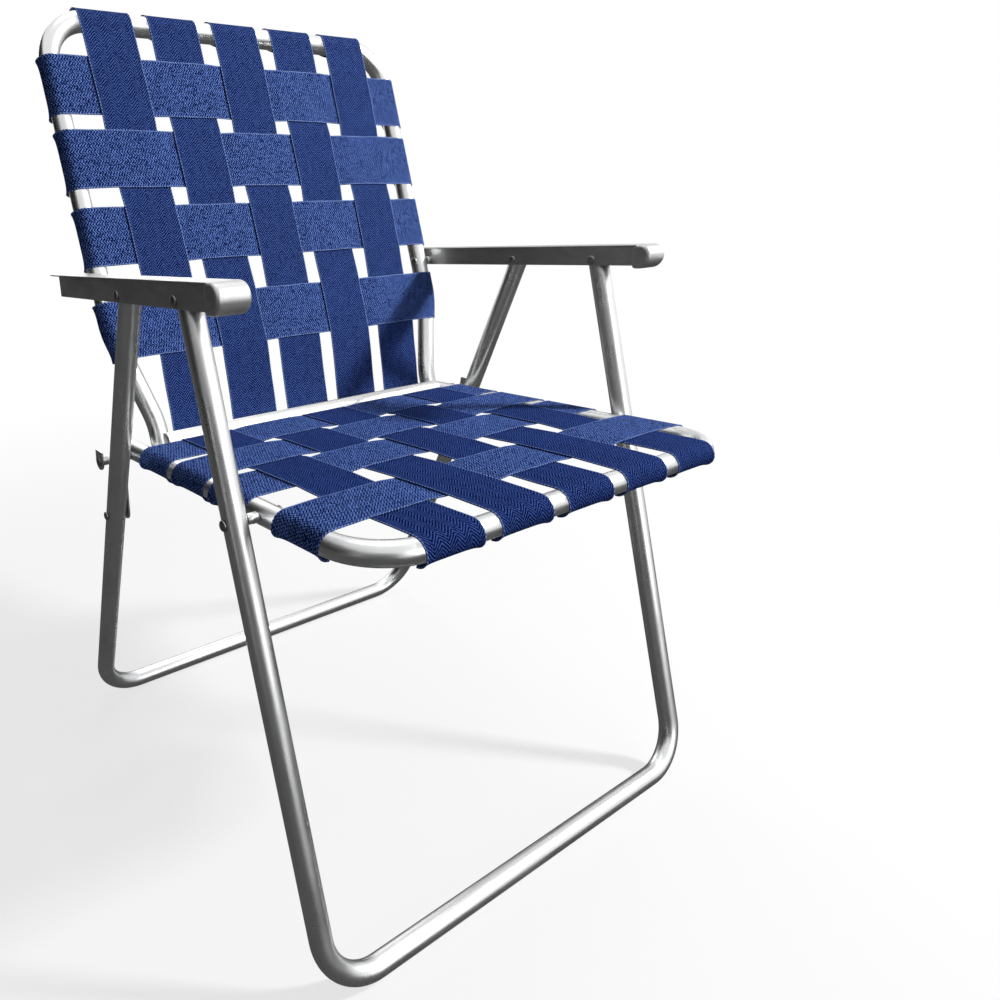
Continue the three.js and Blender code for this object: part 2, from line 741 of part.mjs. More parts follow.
// The rear stretch of a seat strap is a piece of its own: past the last row it dips under the cross
// tube, and it bends there when the seat folds
const lastSeatRow = seatRowCentres.length - 1;
const strapJoin = seatRowCentres[lastSeatRow] - webWidth / 2 - flatMargin;
seatStrapCentres.forEach((centre, strap) => {
	const quarter = Math.PI / 2;
	const overRow = (row) => (row + strap) % 2 === 1;
	const flats = seatRowCentres.map((rowCentre, row) => flatStations(rowCentre, heightOf(overRow(row))));
	const front = arcStations(sidePoint(0, 0), wrapMiddle, 3 * quarter, quarter, wrapSteps);
	const join = flats[lastSeatRow][0];
	const main = [...front, ...flats.slice(0, lastSeatRow).flat(), { ...join, u: strapJoin - touchGap }];
	addPiece(seatGroup, `seat_strap_${strap + 1}`, strapGeometry(main, () => centre), webbing);
	const edge = flats[lastSeatRow][1];
	const fromCross = sidePoint(edge.u, edge.v).sub(crossInSeat);
	const tangentAngle = fromCross.angle() + Math.acos(wrapMiddle / fromCross.length());
	const dip = arcStations(crossInSeat, wrapMiddle, tangentAngle, seatStrapEnd, lowerWrapSteps, -1);
	const tail = [{ ...join, u: strapJoin }, edge, ...dip];
	addPiece(seatGroup, `seat_strap_tail_${strap + 1}`, strapGeometry(tail, () => centre), webbing);
});

// Back webbing: rows round the side tubes, straps over the top tube and down behind the cross tube
const upperRowCentres = stripCentres(rowAbovePivot, backTopReach - topRowToTube, backGapShares);
const backRowCentres = [...upperRowCentres.reverse(), -rowBelowPivot - webWidth / 2];
const lastBackRow = backRowCentres.length - 1;
const backPitchTop = strapPitch(backLane, backTopEdgeGap);
const backPitchBottom = strapPitch(footLane, backFootEdgeGap);
function backStrapCentre(place, height) {
	const share = (height - pivotInBack.x) / (backTopReach - pivotInBack.x);
	return place * (backPitchBottom + (backPitchTop - backPitchBottom) * share);
}

backRowCentres.forEach((centre, row) => {
	const centres = strapPlaces.map((place) => backStrapCentre(place, centre));
	const edges = row === lastBackRow ? taperedEdgeCount : 2;
	const slant = Math.atan2(backLane - footLane, joggleBottomDrop - joggleTopDrop);
	const radius = row === lastBackRow ? wrapInner / Math.cos(slant) + webThickness / 2 : wrapMiddle;
	const courses = Array.from({ length: edges }, (unused, edge) => {
		const height = centre + webWidth * (edge / (edges - 1) - 1 / 2);
		const tubeX = row === lastBackRow ? backTubeAt(height) : backLane;
		return rowCourse(height, rowStations(tubeX, radius, centres, row % 2 === 1));
	});
	addPiece(backGroup, `back_row_${row + 1}`, webGeometry(courses), webbing);
});

strapPlaces.forEach((place, strap) => {
	const quarter = Math.PI / 2;
	const top = arcStations(sidePoint(backTopReach, 0), wrapMiddle, -quarter, quarter, wrapSteps);
	const middle = backRowCentres.flatMap((rowCentre, row) => {
		return flatStations(rowCentre, heightOf((row + strap) % 2 === 0)).reverse();
	});
	const lowest = middle[middle.length - 1];
	const fromCross = sidePoint(lowest.u, lowest.v).sub(crossInBack);
	const tangentAngle = fromCross.angle() - Math.acos(wrapMiddle / fromCross.length());
	const bottom = arcStations(crossInBack, wrapMiddle, tangentAngle, backStrapEnd, lowerWrapSteps, -1);
	const stations = [...top, ...middle, ...bottom].reverse();
	const geometry = strapGeometry(stations, (height) => backStrapCentre(place, height));
	addPiece(backGroup, `back_strap_${strap + 1}`, geometry, webbing);
});

export default chair;
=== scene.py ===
"""Folding webbed lawn chair: visible pieces, materials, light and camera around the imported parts.

Lengths are in metres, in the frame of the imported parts: +Z up, the sitter facing -Y.
"""

import random
from math import acos, atan2, ceil, cos, hypot, pi, radians, sin, sqrt, tan

import bpy
from mathutils import Matrix, Vector


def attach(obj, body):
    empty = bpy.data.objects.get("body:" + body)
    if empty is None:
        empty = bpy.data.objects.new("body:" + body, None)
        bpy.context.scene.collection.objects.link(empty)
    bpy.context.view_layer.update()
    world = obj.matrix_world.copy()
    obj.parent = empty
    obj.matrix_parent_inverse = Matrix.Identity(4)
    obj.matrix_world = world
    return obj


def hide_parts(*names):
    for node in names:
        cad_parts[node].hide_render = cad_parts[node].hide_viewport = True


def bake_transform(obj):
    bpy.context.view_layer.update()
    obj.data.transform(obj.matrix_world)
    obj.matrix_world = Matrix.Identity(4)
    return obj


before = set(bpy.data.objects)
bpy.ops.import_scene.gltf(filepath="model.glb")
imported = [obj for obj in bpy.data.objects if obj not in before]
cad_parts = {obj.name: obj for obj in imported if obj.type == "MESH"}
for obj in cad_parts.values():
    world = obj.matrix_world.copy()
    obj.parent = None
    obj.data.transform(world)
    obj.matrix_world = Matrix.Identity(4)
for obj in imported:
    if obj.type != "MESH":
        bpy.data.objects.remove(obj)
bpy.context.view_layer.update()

MM = 0.001
QUARTER = pi / 2

# Tubing
TUBE_RADIUS = 11.1 * MM
TUBE_WALL = 1.2 * MM
CAD_TUBE_SIDES = 12
TUBE_REACH = TUBE_RADIUS / cos(pi / CAD_TUBE_SIDES)
TUBE_SIDES = 36
CORNER_RADIUS = 55 * MM
CORNER_STEPS = 18
LONGEST_RUN = 25 * MM
END_ROUND = 0.35 * MM
TOUCH_GAP = 0.3 * MM
CLEAR_REACH = TUBE_REACH + TOUCH_GAP

# Side view of the linkage
BACK_PIVOT_HEIGHT = 559.8 * MM
ARM_SPAN = 261.7 * MM
ARM_SLOPE = radians(7.13)
REAR_PIVOT_REACH = 147.2 * MM
SIDE_LINK = 189 * MM
SIDE_LINK_LEAN = radians(22.9)
BACK_LEAN = radians(25)
REAR_LEG_LEAN = radians(14.84)
SEAT_SLOPE = radians(6.5)
SEAT_FRONT_REACH = 136.6 * MM
SEAT_TAIL = 17 * MM
BACK_TOP_REACH = 298 * MM
FOOT_TAIL = 10 * MM
LEG_HEAD_TAIL = 8 * MM
LINK_LENGTH = 66 * MM

# Lanes across the chair
SEAT_LANE = 243.3 * MM
RAIL_TO_FOOT_GAP = 5.1 * MM
RAIL_TO_LEG_GAP = 11.1 * MM
ARM_TO_BACK_GAP = 7.5 * MM
CHANNEL_PLAY = 1.3 * MM
FLANGE_THICKNESS = 1.5 * MM
FOOT_LANE = SEAT_LANE - 2 * TUBE_REACH - RAIL_TO_FOOT_GAP
LEG_LANE = SEAT_LANE + 2 * TUBE_REACH + RAIL_TO_LEG_GAP
CHANNEL_HALF = TUBE_REACH + CHANNEL_PLAY + FLANGE_THICKNESS
BACK_LANE = LEG_LANE - CHANNEL_HALF - ARM_TO_BACK_GAP - TUBE_REACH

# Back frame
JOGGLE_TOP = 52 * MM
JOGGLE_BOTTOM = 157 * MM
JOGGLE_RADIUS = 100 * MM
JOGGLE_STEPS = 8
CROSS_RISE = 15.2 * MM
CROSS_ANGLE = radians(90 + 42.3)
CROSS_STATIONS = 41
CROSS_LAP = 1.5 * MM
CROSS_END = 5 * MM

# Arms
PLATE_WIDTH = 31.2 * MM
PLATE_THICKNESS = 1.5 * MM
PLATE_RISE = 16.2 * MM
PLATE_ROUNDING = 0.6 * MM
PLATE_UNDER = PLATE_RISE - PLATE_THICKNESS
FLANGE_DROP = 6.2 * MM
FLANGE_ROUNDING = 0.35 * MM
NOSE_REACH = 72.6 * MM
NOSE_DROP = 6.8 * MM
OUTER_TAIL = 2 * MM
INNER_TAIL = 13 * MM
TIP_REACH = 51 * MM
TIP_START = 8 * MM
TIP_STEPS = 24
CAP_RADIUS = (PLATE_RISE + NOSE_DROP) / 2 + 1.5 * MM
CAP_STAND = 0.4 * MM
CAP_TAIL = 8 * MM
CAP_TUCK = 5 * MM
CAP_EXTRA = 0.6 * MM
CAP_ROUNDING = 4 * MM
CAP_SEGMENTS = 8
CAP_STEPS = 32

# Rivets, spacers and links
PIN_RADIUS = 2.5 * MM
HEAD_RADIUS = 5 * MM
HEAD_HEIGHT = 2.2 * MM
HEAD_RIM = 0.45 * MM
HEAD_STEPS = 7
CENTRE_RADIUS = 0.02 * MM
SPACER_RADIUS = 5 * MM
SPACER_EDGE = 0.4 * MM
LINK_WIDTH = 17 * MM
PLATE_GAUGE = 2 * MM
LINK_ROUNDING = 0.4 * MM
EAR_RADIUS = 9.5 * MM
EAR_REACH = 15 * MM
EAR_SPREAD = radians(70)
LATHE_SIDES = 32
PLATE_STEPS = 16

# Webbing
WEB_WIDTH = 65 * MM
WEB_THICKNESS = 1.2 * MM
FLAT_MARGIN = 1.5 * MM
STRAP_COUNT = 5
SEAT_EDGE_GAP = 29.7 * MM
BACK_TOP_EDGE_GAP = 28.7 * MM
BACK_FOOT_EDGE_GAP = 7.8 * MM
ROW_BEFORE_PIVOT = 23.3 * MM
ROW_BEHIND_PIVOT = 17.6 * MM
LAST_ROW_TO_CROSS = 17.6 * MM
TOP_ROW_TO_TUBE = 45.6 * MM
ROW_ABOVE_PIVOT = 20.4 * MM
ROW_BELOW_PIVOT = 19 * MM
SEAT_GAP_SHARES = (0, 0.451, 0.546)
BACK_GAP_SHARES = (0, 0.568, 0.432)
SEAT_STRAP_END = radians(257)
BACK_STRAP_END = radians(-163)
WRAP_INNER = CLEAR_REACH
WRAP_MIDDLE = WRAP_INNER + WEB_THICKNESS / 2
OVER_LIFT = WEB_THICKNESS + TOUCH_GAP
WEB_STEP = 2.5 * MM
EASE_PASSES = 3
WEB_COLUMNS = 24
WRAP_ARC_STEP = radians(6)
FOLD_RUN = 17 * MM
FOLD_TIP_SHARE = 0.3
FOLD_DOUBLE = 0.9 * MM
FOLD_ONSET = 6
FOLD_ANGLE = radians(70)
EDGE_BEAD = 1.6 * MM
EDGE_INSETS = (0.0, 0.35 * MM, 1.1 * MM, EDGE_BEAD, 2.4 * MM)
EDGE_SKIN = 0.1 * MM
EDGE_THICKNESS = 0.45 * MM
BEAD_THICKNESS = WEB_THICKNESS * 0.97
BODY_THICKNESS = 0.96 * MM
EDGE_SWAY = 0.22 * MM
EDGE_WAVES = (0.05, 0.12)
LOOSE_EDGE = 2.3 * MM
LOOSE_POWER = 5
LOOSE_FROM_END = 27 * MM
LOOSE_REACH = 15 * MM
END_PIECE_INSET = 3 * MM
SCREW_BACK = radians(24)


# Side view: points are (y, z) pairs before the shift to the box's middle
def turned(angle):
    return Vector((cos(angle), sin(angle)))


def world_point(side_point, x=0.0):
    return Vector((x, side_point.x - BOX_MIDDLE_Y, side_point.y))


DOWN_LINK = -SIDE_LINK * Vector((sin(SIDE_LINK_LEAN), cos(SIDE_LINK_LEAN)))
TOWARD_FRONT = Vector((-cos(ARM_SLOPE), sin(ARM_SLOPE)))
BACK_PIVOT = Vector((0, BACK_PIVOT_HEIGHT))
FRONT_LEG_PIVOT = BACK_PIVOT + TOWARD_FRONT * ARM_SPAN
REAR_LEG_PIVOT = BACK_PIVOT + TOWARD_FRONT * REAR_PIVOT_REACH
SEAT_BACK_PIVOT = BACK_PIVOT + DOWN_LINK
SEAT_LEG_PIVOT = FRONT_LEG_PIVOT + DOWN_LINK


class Plane:
    """A piece's own plane: an origin in the side view and the direction of its along axis."""

    def __init__(self, origin, along):
        self.origin = origin
        self.along = along.normalized()
        self.square = Vector((-self.along.y, self.along.x))

    def inside(self, point):
        offset = point - self.origin
        return Vector((offset.dot(self.along), offset.dot(self.square)))

    def side(self, along, square):
        return self.origin + self.along * along + self.square * square

    def at(self, x, along, square=0.0):
        return world_point(self.side(along, square), x)

    def direction(self, across, along, square):
        flat = self.along * along + self.square * square
        return Vector((across, flat.x, flat.y))


BACK_UP = Vector((sin(BACK_LEAN), cos(BACK_LEAN)))
BACK_SETBACK = SIDE_LINK * sin(BACK_LEAN - SIDE_LINK_LEAN) / 2
BACK = Plane(BACK_PIVOT + Vector((cos(BACK_LEAN), -sin(BACK_LEAN))) * BACK_SETBACK, BACK_UP)
RAIL_LINE = Vector((cos(SEAT_SLOPE), -sin(SEAT_SLOPE)))
RAIL_MIDDLE = (SEAT_BACK_PIVOT + SEAT_LEG_PIVOT) / 2
SEAT = Plane(RAIL_MIDDLE - RAIL_LINE * (ARM_SPAN / 2 + SEAT_FRONT_REACH), RAIL_LINE)
FRONT_LEG = Plane(FRONT_LEG_PIVOT, Vector((sin(SIDE_LINK_LEAN), cos(SIDE_LINK_LEAN))))
REAR_LEG = Plane(REAR_LEG_PIVOT, Vector((-sin(REAR_LEG_LEAN), cos(REAR_LEG_LEAN))))
ARM = Plane(BACK_PIVOT, -TOWARD_FRONT)

FRONT_FLOOR_Y = FRONT_LEG_PIVOT.x - tan(SIDE_LINK_LEAN) * (FRONT_LEG_PIVOT.y - TUBE_RADIUS)
TOP_TUBE = BACK.side(BACK_TOP_REACH, 0)
BOX_MIDDLE_Y = (FRONT_FLOOR_Y - TUBE_RADIUS + TOP_TUBE.x + WRAP_INNER + WEB_THICKNESS) / 2

PIVOT_IN_REAR_LEG = REAR_LEG.inside(SEAT_BACK_PIVOT)
LINK_RUN = sqrt(LINK_LENGTH**2 - PIVOT_IN_REAR_LEG.y**2)
LINK_FOOT = REAR_LEG.side(PIVOT_IN_REAR_LEG.x - LINK_RUN, 0)
LINK = Plane(SEAT_BACK_PIVOT, LINK_FOOT - SEAT_BACK_PIVOT)
CROSS_TUBE = SEAT_BACK_PIVOT + turned(CROSS_ANGLE) * CROSS_RISE


# Meshes
def mesh_object(name, vertices, faces, uvs):
    """A smooth mesh; uvs gives a pair in metres for each vertex, or for each corner of each face."""
    mesh = bpy.data.meshes.new(name)
    mesh.from_pydata([tuple(v) for v in vertices], [], [tuple(f) for f in faces])
    mesh.polygons.foreach_set("use_smooth", [True] * len(mesh.polygons))
    layer = mesh.uv_layers.new(name="surface")
    by_corner = len(uvs) == len(mesh.loops)
    for loop in mesh.loops:
        layer.data[loop.index].uv = uvs[loop.index if by_corner else loop.vertex_index]
    mesh.update()
    made = bpy.data.objects.new(name, mesh)
    bpy.context.scene.collection.objects.link(made)
    return made


def grid_faces(rows, columns, start=0, wrap=False, flip=False):
    """Quads over a grid of vertices numbered row by row."""
    faces = []
    for row in range(rows - 1):
        for column in range(columns if wrap else columns - 1):
            following = (column + 1) % columns
            a = start + row * columns + column
            b = start + row * columns + following
            quad = (a, b, b + columns, a + columns)
            faces.append(quad[::-1] if flip else quad)
    return faces


def panel(name, width, height, level=0.0):
    """One upward rectangle round the origin, not yet in the scene."""
    square = ((-1, -1), (1, -1), (1, 1), (-1, 1))
    mesh = bpy.data.meshes.new(name)
    mesh.from_pydata([(x * width / 2, y * height / 2, level) for x, y in square], [], [(0, 1, 2, 3)])
    return bpy.data.objects.new(name, mesh)


def place(piece, body, material, slot, *nodes):
    """Dresses a piece and says where it belongs; a piece that bends has no body here."""
    piece.data.materials.append(material)
    if body:
        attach(piece, body)
    if nodes:
        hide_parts(*nodes)


def make_outward(piece):
    """Turns the faces over where the mesh encloses a negative volume."""
    mesh = piece.data
    volume = 0.0
    for polygon in mesh.polygons:
        corners = [mesh.vertices[index].co for index in polygon.vertices]
        for b, c in zip(corners[1:], corners[2:]):
            volume += corners[0].dot(b.cross(c))
    if volume < 0:
        mesh.flip_normals()


def mark_sharp(piece, degrees=35):
    """Keeps crisp the edges where two faces meet at more than the angle."""
    piece.data.set_sharp_from_angle(angle=radians(degrees))
    return piece


# Materials. A noise is its waves per metre along and across the piece, its detail and roughness
DULL_PATCHES = (14.0, 30.0, 3.0, 0.5)
PITS = (900.0, 1400.0, 2.0, 0.5)
SCRATCHES = (60.0, 2600.0, 2.0, 0.4)
SCRATCH_RANGE = (0.66, 0.72)
SCRATCH_DEPTH = 0.5
SCRATCH_ROUGHNESS = 0.12
PIT_DEPTH = 0.35
LINE_NOISE = (4.0, 0.6)
LINE_WEAR = 0.35
WEAR_RANGE = (0.5, 0.95)
PATCH_RANGE = (0.3, 0.75)
METAL_RELIEF = 0.4 * MM
YARN_JITTER = (120.0, 120.0, 2.0, 0.5)
YARN_GRAIN = (900.0, 1100.0, 2.0, 0.6)
BROAD_WEAR = (9.0, 22.0, 3.0, 0.6)
BROAD_SHARE = 0.25
TONE_RANGE = (0.15, 0.85)
FLECK_RANGE = (0.72, 1.05)
FLECK_GRAIN = 0.5
RIB_HEIGHT = 0.55
GRAIN_HEIGHT = 0.45
STITCH_HEIGHT = 0.5
STITCH_SHARE = 0.75
STITCH_RANGE = (-0.7, 0.4, 0.15, 1.0)
WEB_ROUGHNESS = (0.2, 0.9, 0.95, 0.75)
WEB_SPECULAR = 0.02
WEB_RELIEF = (0.6, 0.6 * MM)
RIB_PITCH = 3.3 * MM
YARN_LENGTH = 1.4 * MM
YARN_WIDTH = 0.85 * MM
CHEVRON_SHIFT = 0.1
SELVEDGE_INSET = 0.8 * MM
STITCH_PITCH = 3.6 * MM
STITCH_HALF_WIDTHS = (0.2 * MM, 0.8 * MM)
WHITE = (1.0, 1.0, 1.0, 1.0)
DEEP_BLUE = (0.0004, 0.0020, 0.028, 1.0)
MAIN_BLUE = (0.005, 0.024, 0.165, 1.0)
BROAD_BLUE = (0.008, 0.034, 0.20, 1.0)
# Pale flecks of single yarns, also the colour of the painted sheen
FLECK_AND_SHEEN_BLUE = (0.18, 0.31, 0.80, 1.0)
EDGE_BLUE = (0.34, 0.48, 0.88, 1.0)


def new_material(name):
    material = bpy.data.materials.new(name)
    material.use_nodes = True
    tree = material.node_tree
    return material, tree, tree.nodes["Principled BSDF"]


def feed(tree, target, inputs):
    """Sets a node's inputs, to a value or to another node's output."""
    for key, value in inputs.items():
        if isinstance(value, bpy.types.NodeSocket):
            tree.links.new(value, target.inputs[key])
        else:
            target.inputs[key].default_value = value


def node(tree, kind, inputs=None, **settings):
    made = tree.nodes.new(kind)
    for key, value in settings.items():
        setattr(made, key, value)
    feed(tree, made, inputs or {})
    return made


def maths(tree, operation, *values):
    made = node(tree, "ShaderNodeMath", dict(enumerate(values)), operation=operation)
    return made.outputs[0]


def times(tree, first, second):
    return maths(tree, "MULTIPLY", first, second)


def weighted(tree, value, weight, base):
    """The base with a share of the value added."""
    return maths(tree, "ADD", times(tree, value, weight), base)


def wave(tree, value, pitch):
    return maths(tree, "SINE", times(tree, value, 2 * pi / pitch))


def ramp(tree, value, low, high, to_low=0.0, to_high=1.0):
    inputs = {"Value": value, "From Min": low, "From Max": high, "To Min": to_low, "To Max": to_high}
    made = node(tree, "ShaderNodeMapRange", inputs, interpolation_type="SMOOTHSTEP")
    return made.outputs["Result"]


def mix(tree, factor, first, second):
    made = node(tree, "ShaderNodeMix", {0: factor, 6: first, 7: second}, data_type="RGBA")
    return made.outputs[2]


def noise(tree, along, across, detail, roughness):
    """Noise over the surface's own lengths."""
    uv = node(tree, "ShaderNodeUVMap", uv_map="surface").outputs["UV"]
    scaled = node(tree, "ShaderNodeMapping", {"Vector": uv, "Scale": (along, across, 1.0)})
    inputs = {"Vector": scaled.outputs[0], "Scale": 1.0, "Detail": detail, "Roughness": roughness}
    return node(tree, "ShaderNodeTexNoise", inputs).outputs["Fac"]


def relief(tree, height, strength, depth):
    inputs = {"Height": height, "Strength": strength, "Distance": depth}
    return node(tree, "ShaderNodeBump", inputs).outputs["Normal"]


def white_glow(tree, strength):
    inputs = {"Color": WHITE, "Strength": strength}
    return node(tree, "ShaderNodeEmission", inputs).outputs[0]


def seen_directly(tree):
    """1 where the eye sees the surface, straight or in metal, and 0 where it only lights others."""
    path = node(tree, "ShaderNodeLightPath")
    seen = maths(tree, "MAXIMUM", path.outputs["Is Camera Ray"], path.outputs["Is Glossy Ray"])
    return maths(tree, "MAXIMUM", seen, path.outputs["Is Transmission Ray"])


def metal(name, colour, dull, streaks, roughness, bump):
    """Drawn or rolled metal: fine lines along it, dull patches and small scratches."""
    material, tree, shader = new_material(name)
    lines = noise(tree, *streaks, *LINE_NOISE)
    patches = noise(tree, *DULL_PATCHES)
    pits = noise(tree, *PITS)
    scratches = ramp(tree, noise(tree, *SCRATCHES), *SCRATCH_RANGE)
    wear = ramp(tree, weighted(tree, lines, LINE_WEAR, patches), *WEAR_RANGE)
    rough = ramp(tree, patches, *PATCH_RANGE, *roughness)
    height = weighted(tree, scratches, -SCRATCH_DEPTH, weighted(tree, pits, PIT_DEPTH, lines))
    feed(tree, shader, {
        "Base Color": mix(tree, wear, colour, dull),
        "Metallic": 1.0,
        "Roughness": weighted(tree, scratches, SCRATCH_ROUGHNESS, rough),
        "Normal": relief(tree, height, bump, METAL_RELIEF),
    })
    return material


def webbing(name, chevron_width, fleck_and_sheen_share, rib_share):
    """Flat woven webbing: chevron twill of pale and dark yarns, with a stitched line at each edge; the
    share of pale flecks also carries painted sheen.
    """
    material, tree, shader = new_material(name)
    uv = node(tree, "ShaderNodeUVMap", uv_map="surface").outputs["UV"]
    parts = node(tree, "ShaderNodeSeparateXYZ", {"Vector": uv})
    along, across = parts.outputs["X"], parts.outputs["Y"]

    # The twill: ribs that run slanting over the yarns and turn back at each chevron
    jitter = noise(tree, *YARN_JITTER)
    folded = maths(tree, "PINGPONG", maths(tree, "ADD", across, CHEVRON_SHIFT), chevron_width)
    on_twill = maths(tree, "ADD", along, weighted(tree, jitter, RIB_PITCH / 2, folded))
    rib = ramp(tree, wave(tree, on_twill, RIB_PITCH), -1.0, 1.0)
    cell = node(tree, "ShaderNodeCombineXYZ", {
        "X": maths(tree, "FLOOR", maths(tree, "DIVIDE", on_twill, YARN_LENGTH)),
        "Y": maths(tree, "FLOOR", maths(tree, "DIVIDE", across, YARN_WIDTH)),
    })
    yarn = node(tree, "ShaderNodeTexWhiteNoise", {"Vector": cell.outputs[0]}).outputs["Value"]
    grain = noise(tree, *YARN_GRAIN)
    broad = noise(tree, *BROAD_WEAR)
    height = weighted(tree, rib, RIB_HEIGHT, times(tree, grain, GRAIN_HEIGHT))

    # Its colour: dark between the ribs, worn in broad patches, with pale flecks of single yarns whose
    # share also paints the sheen
    tone = weighted(tree, rib, rib_share, times(tree, yarn, 1.0 - rib_share))
    twill = mix(tree, ramp(tree, tone, *TONE_RANGE), DEEP_BLUE, MAIN_BLUE)
    worn = times(tree, ramp(tree, broad, *PATCH_RANGE), BROAD_SHARE)
    twill = mix(tree, worn, twill, BROAD_BLUE)
    fleck = ramp(tree, weighted(tree, grain, FLECK_GRAIN, tone), *FLECK_RANGE)
    # Painted sheen: each copy takes a share of pale flecks set by how the light catches its strips
    flecks_and_sheen = mix(tree, times(tree, fleck, fleck_and_sheen_share), twill, FLECK_AND_SHEEN_BLUE)

    # The stitched line along both edges
    from_line = maths(tree, "ABSOLUTE", maths(
        tree, "SUBTRACT", maths(tree, "ABSOLUTE", across), WEB_WIDTH / 2 - SELVEDGE_INSET))
    stitch = ramp(tree, wave(tree, along, STITCH_PITCH), *STITCH_RANGE)
    line = times(tree, ramp(tree, from_line, *STITCH_HALF_WIDTHS, 1.0, 0.0), stitch)
    feed(tree, shader, {
        "Base Color": mix(tree, times(tree, line, STITCH_SHARE), flecks_and_sheen, EDGE_BLUE),
        "Roughness": ramp(tree, height, *WEB_ROUGHNESS),
        "Specular IOR Level": WEB_SPECULAR,
        "Normal": relief(tree, weighted(tree, line, STITCH_HEIGHT, height), *WEB_RELIEF),
    })
    return material


tube_metal = metal(
    "drawn_aluminium", colour=(0.76, 0.765, 0.77, 1.0), dull=(0.60, 0.605, 0.61, 1.0),
    streaks=(22.0, 2200.0), roughness=(0.24, 0.40), bump=0.16)
arm_metal = metal(
    "rolled_aluminium", colour=(0.56, 0.56, 0.565, 1.0), dull=(0.38, 0.38, 0.385, 1.0),
    streaks=(35.0, 1500.0), roughness=(0.36, 0.5), bump=0.2)
fitting_metal = metal(
    "stamped_aluminium", colour=(0.66, 0.665, 0.67, 1.0), dull=(0.47, 0.475, 0.48, 1.0),
    streaks=(120.0, 700.0), roughness=(0.25, 0.45), bump=0.25)
rivet_metal = metal(
    "plain_steel", colour=(0.30, 0.30, 0.305, 1.0), dull=(0.18, 0.18, 0.182, 1.0),
    streaks=(300.0, 300.0), roughness=(0.26, 0.48), bump=0.3)
# Copies of one webbing whose share of pale flecks paints the sheen: most on the crosswise rows, less on
# the back straps, least on the seat straps, which are painted darker
back_strap_webbing_painted_sheen = webbing(
    "back_strap_webbing_painted_sheen", chevron_width=8.2 * MM, fleck_and_sheen_share=0.42, rib_share=0.6)
seat_strap_webbing_painted_shade = webbing(
    "seat_strap_webbing_painted_shade", chevron_width=8.2 * MM, fleck_and_sheen_share=0.24, rib_share=0.6)
crosswise_webbing_painted_sheen = webbing(
    "crosswise_webbing_painted_sheen", chevron_width=3.2 * MM, fleck_and_sheen_share=0.9, rib_share=0.5)


# Tubes
def bent_path(corners):
    """Points and headings along straight runs joined by arcs, through (point, radius, steps)."""
    first, last = corners[0][0], corners[-1][0]
    path = [(first, (corners[1][0] - first).normalized())]
    for before, (at, radius, steps), after in zip(corners, corners[1:], corners[2:]):
        inward = (at - before[0]).normalized()
        outward = (after[0] - at).normalized()
        turn = inward.angle(outward)
        side = (outward - inward * inward.dot(outward)).normalized()
        start = at - inward * radius * tan(turn / 2)
        for step in range(steps + 1):
            angle = turn * step / steps
            point = start + inward * radius * sin(angle) + side * radius * (1 - cos(angle))
            path.append((point, inward * cos(angle) + side * sin(angle)))
    path.append((last, (last - corners[-2][0]).normalized()))
    return path


def divided(path):
    """The same path with its long straight runs cut up, so that surface lengths stay even."""
    made = [path[0]]
    for (start, _), (end, heading) in zip(path, path[1:]):
        count = max(1, ceil((end - start).length / LONGEST_RUN))
        made += [(start.lerp(end, step / count), heading) for step in range(1, count)]
        made.append((end, heading))
    return made


def tube(name, plane, corners, body, node_name):
    """A hollow tube along the corners, with rounded rims at its open ends."""
    path = divided(bent_path(corners))
    stations = [(*path[0], 0.0)]
    for point, heading in path[1:]:
        before, _, length = stations[-1]
        stations.append((point, heading, length + (point - before).length))
    vertices, uvs = [], []

    def ring(point, heading, length, radius):
        beside = Vector((-heading.y, heading.x))
        for index in range(TUBE_SIDES):
            angle = 2 * pi * index / TUBE_SIDES
            flat = point + beside * cos(angle) * radius
            vertices.append(plane.at(flat.x, flat.y, radius * sin(angle)))
            uvs.append((length, angle * TUBE_RADIUS))

    (start, inward, _), (end, outward, total) = stations[0], stations[-1]
    ring(start, inward, 0.0, TUBE_RADIUS - END_ROUND)
    ring(start + inward * END_ROUND, inward, END_ROUND, TUBE_RADIUS)
    for station in stations[1:-1]:
        ring(*station, TUBE_RADIUS)
    ring(end - outward * END_ROUND, outward, total - END_ROUND, TUBE_RADIUS)
    ring(end, outward, total, TUBE_RADIUS - END_ROUND)
    for station in stations[::-1]:
        ring(*station, TUBE_RADIUS - TUBE_WALL)
    count = len(vertices)
    faces = grid_faces(count // TUBE_SIDES + 1, TUBE_SIDES, wrap=True)
    faces = [tuple(index % count for index in face) for face in faces]
    made = mark_sharp(mesh_object(name, vertices, faces, uvs))
    place(made, body, tube_metal, "tube", node_name)


def both_sides(*half):
    """Corners given as (distance from the middle, along, radius, steps), with their mirror image."""
    corners = [(Vector((-x, along)), *bend) for x, along, *bend in half]
    return corners + [(Vector((-at.x, at.y)), *bend) for at, *bend in corners[::-1]]


def leg_corners(plane):
    floor = -(plane.origin.y - TUBE_RADIUS) / plane.along.y
    return both_sides((LEG_LANE, LEG_HEAD_TAIL), (LEG_LANE, floor, CORNER_RADIUS, CORNER_STEPS))


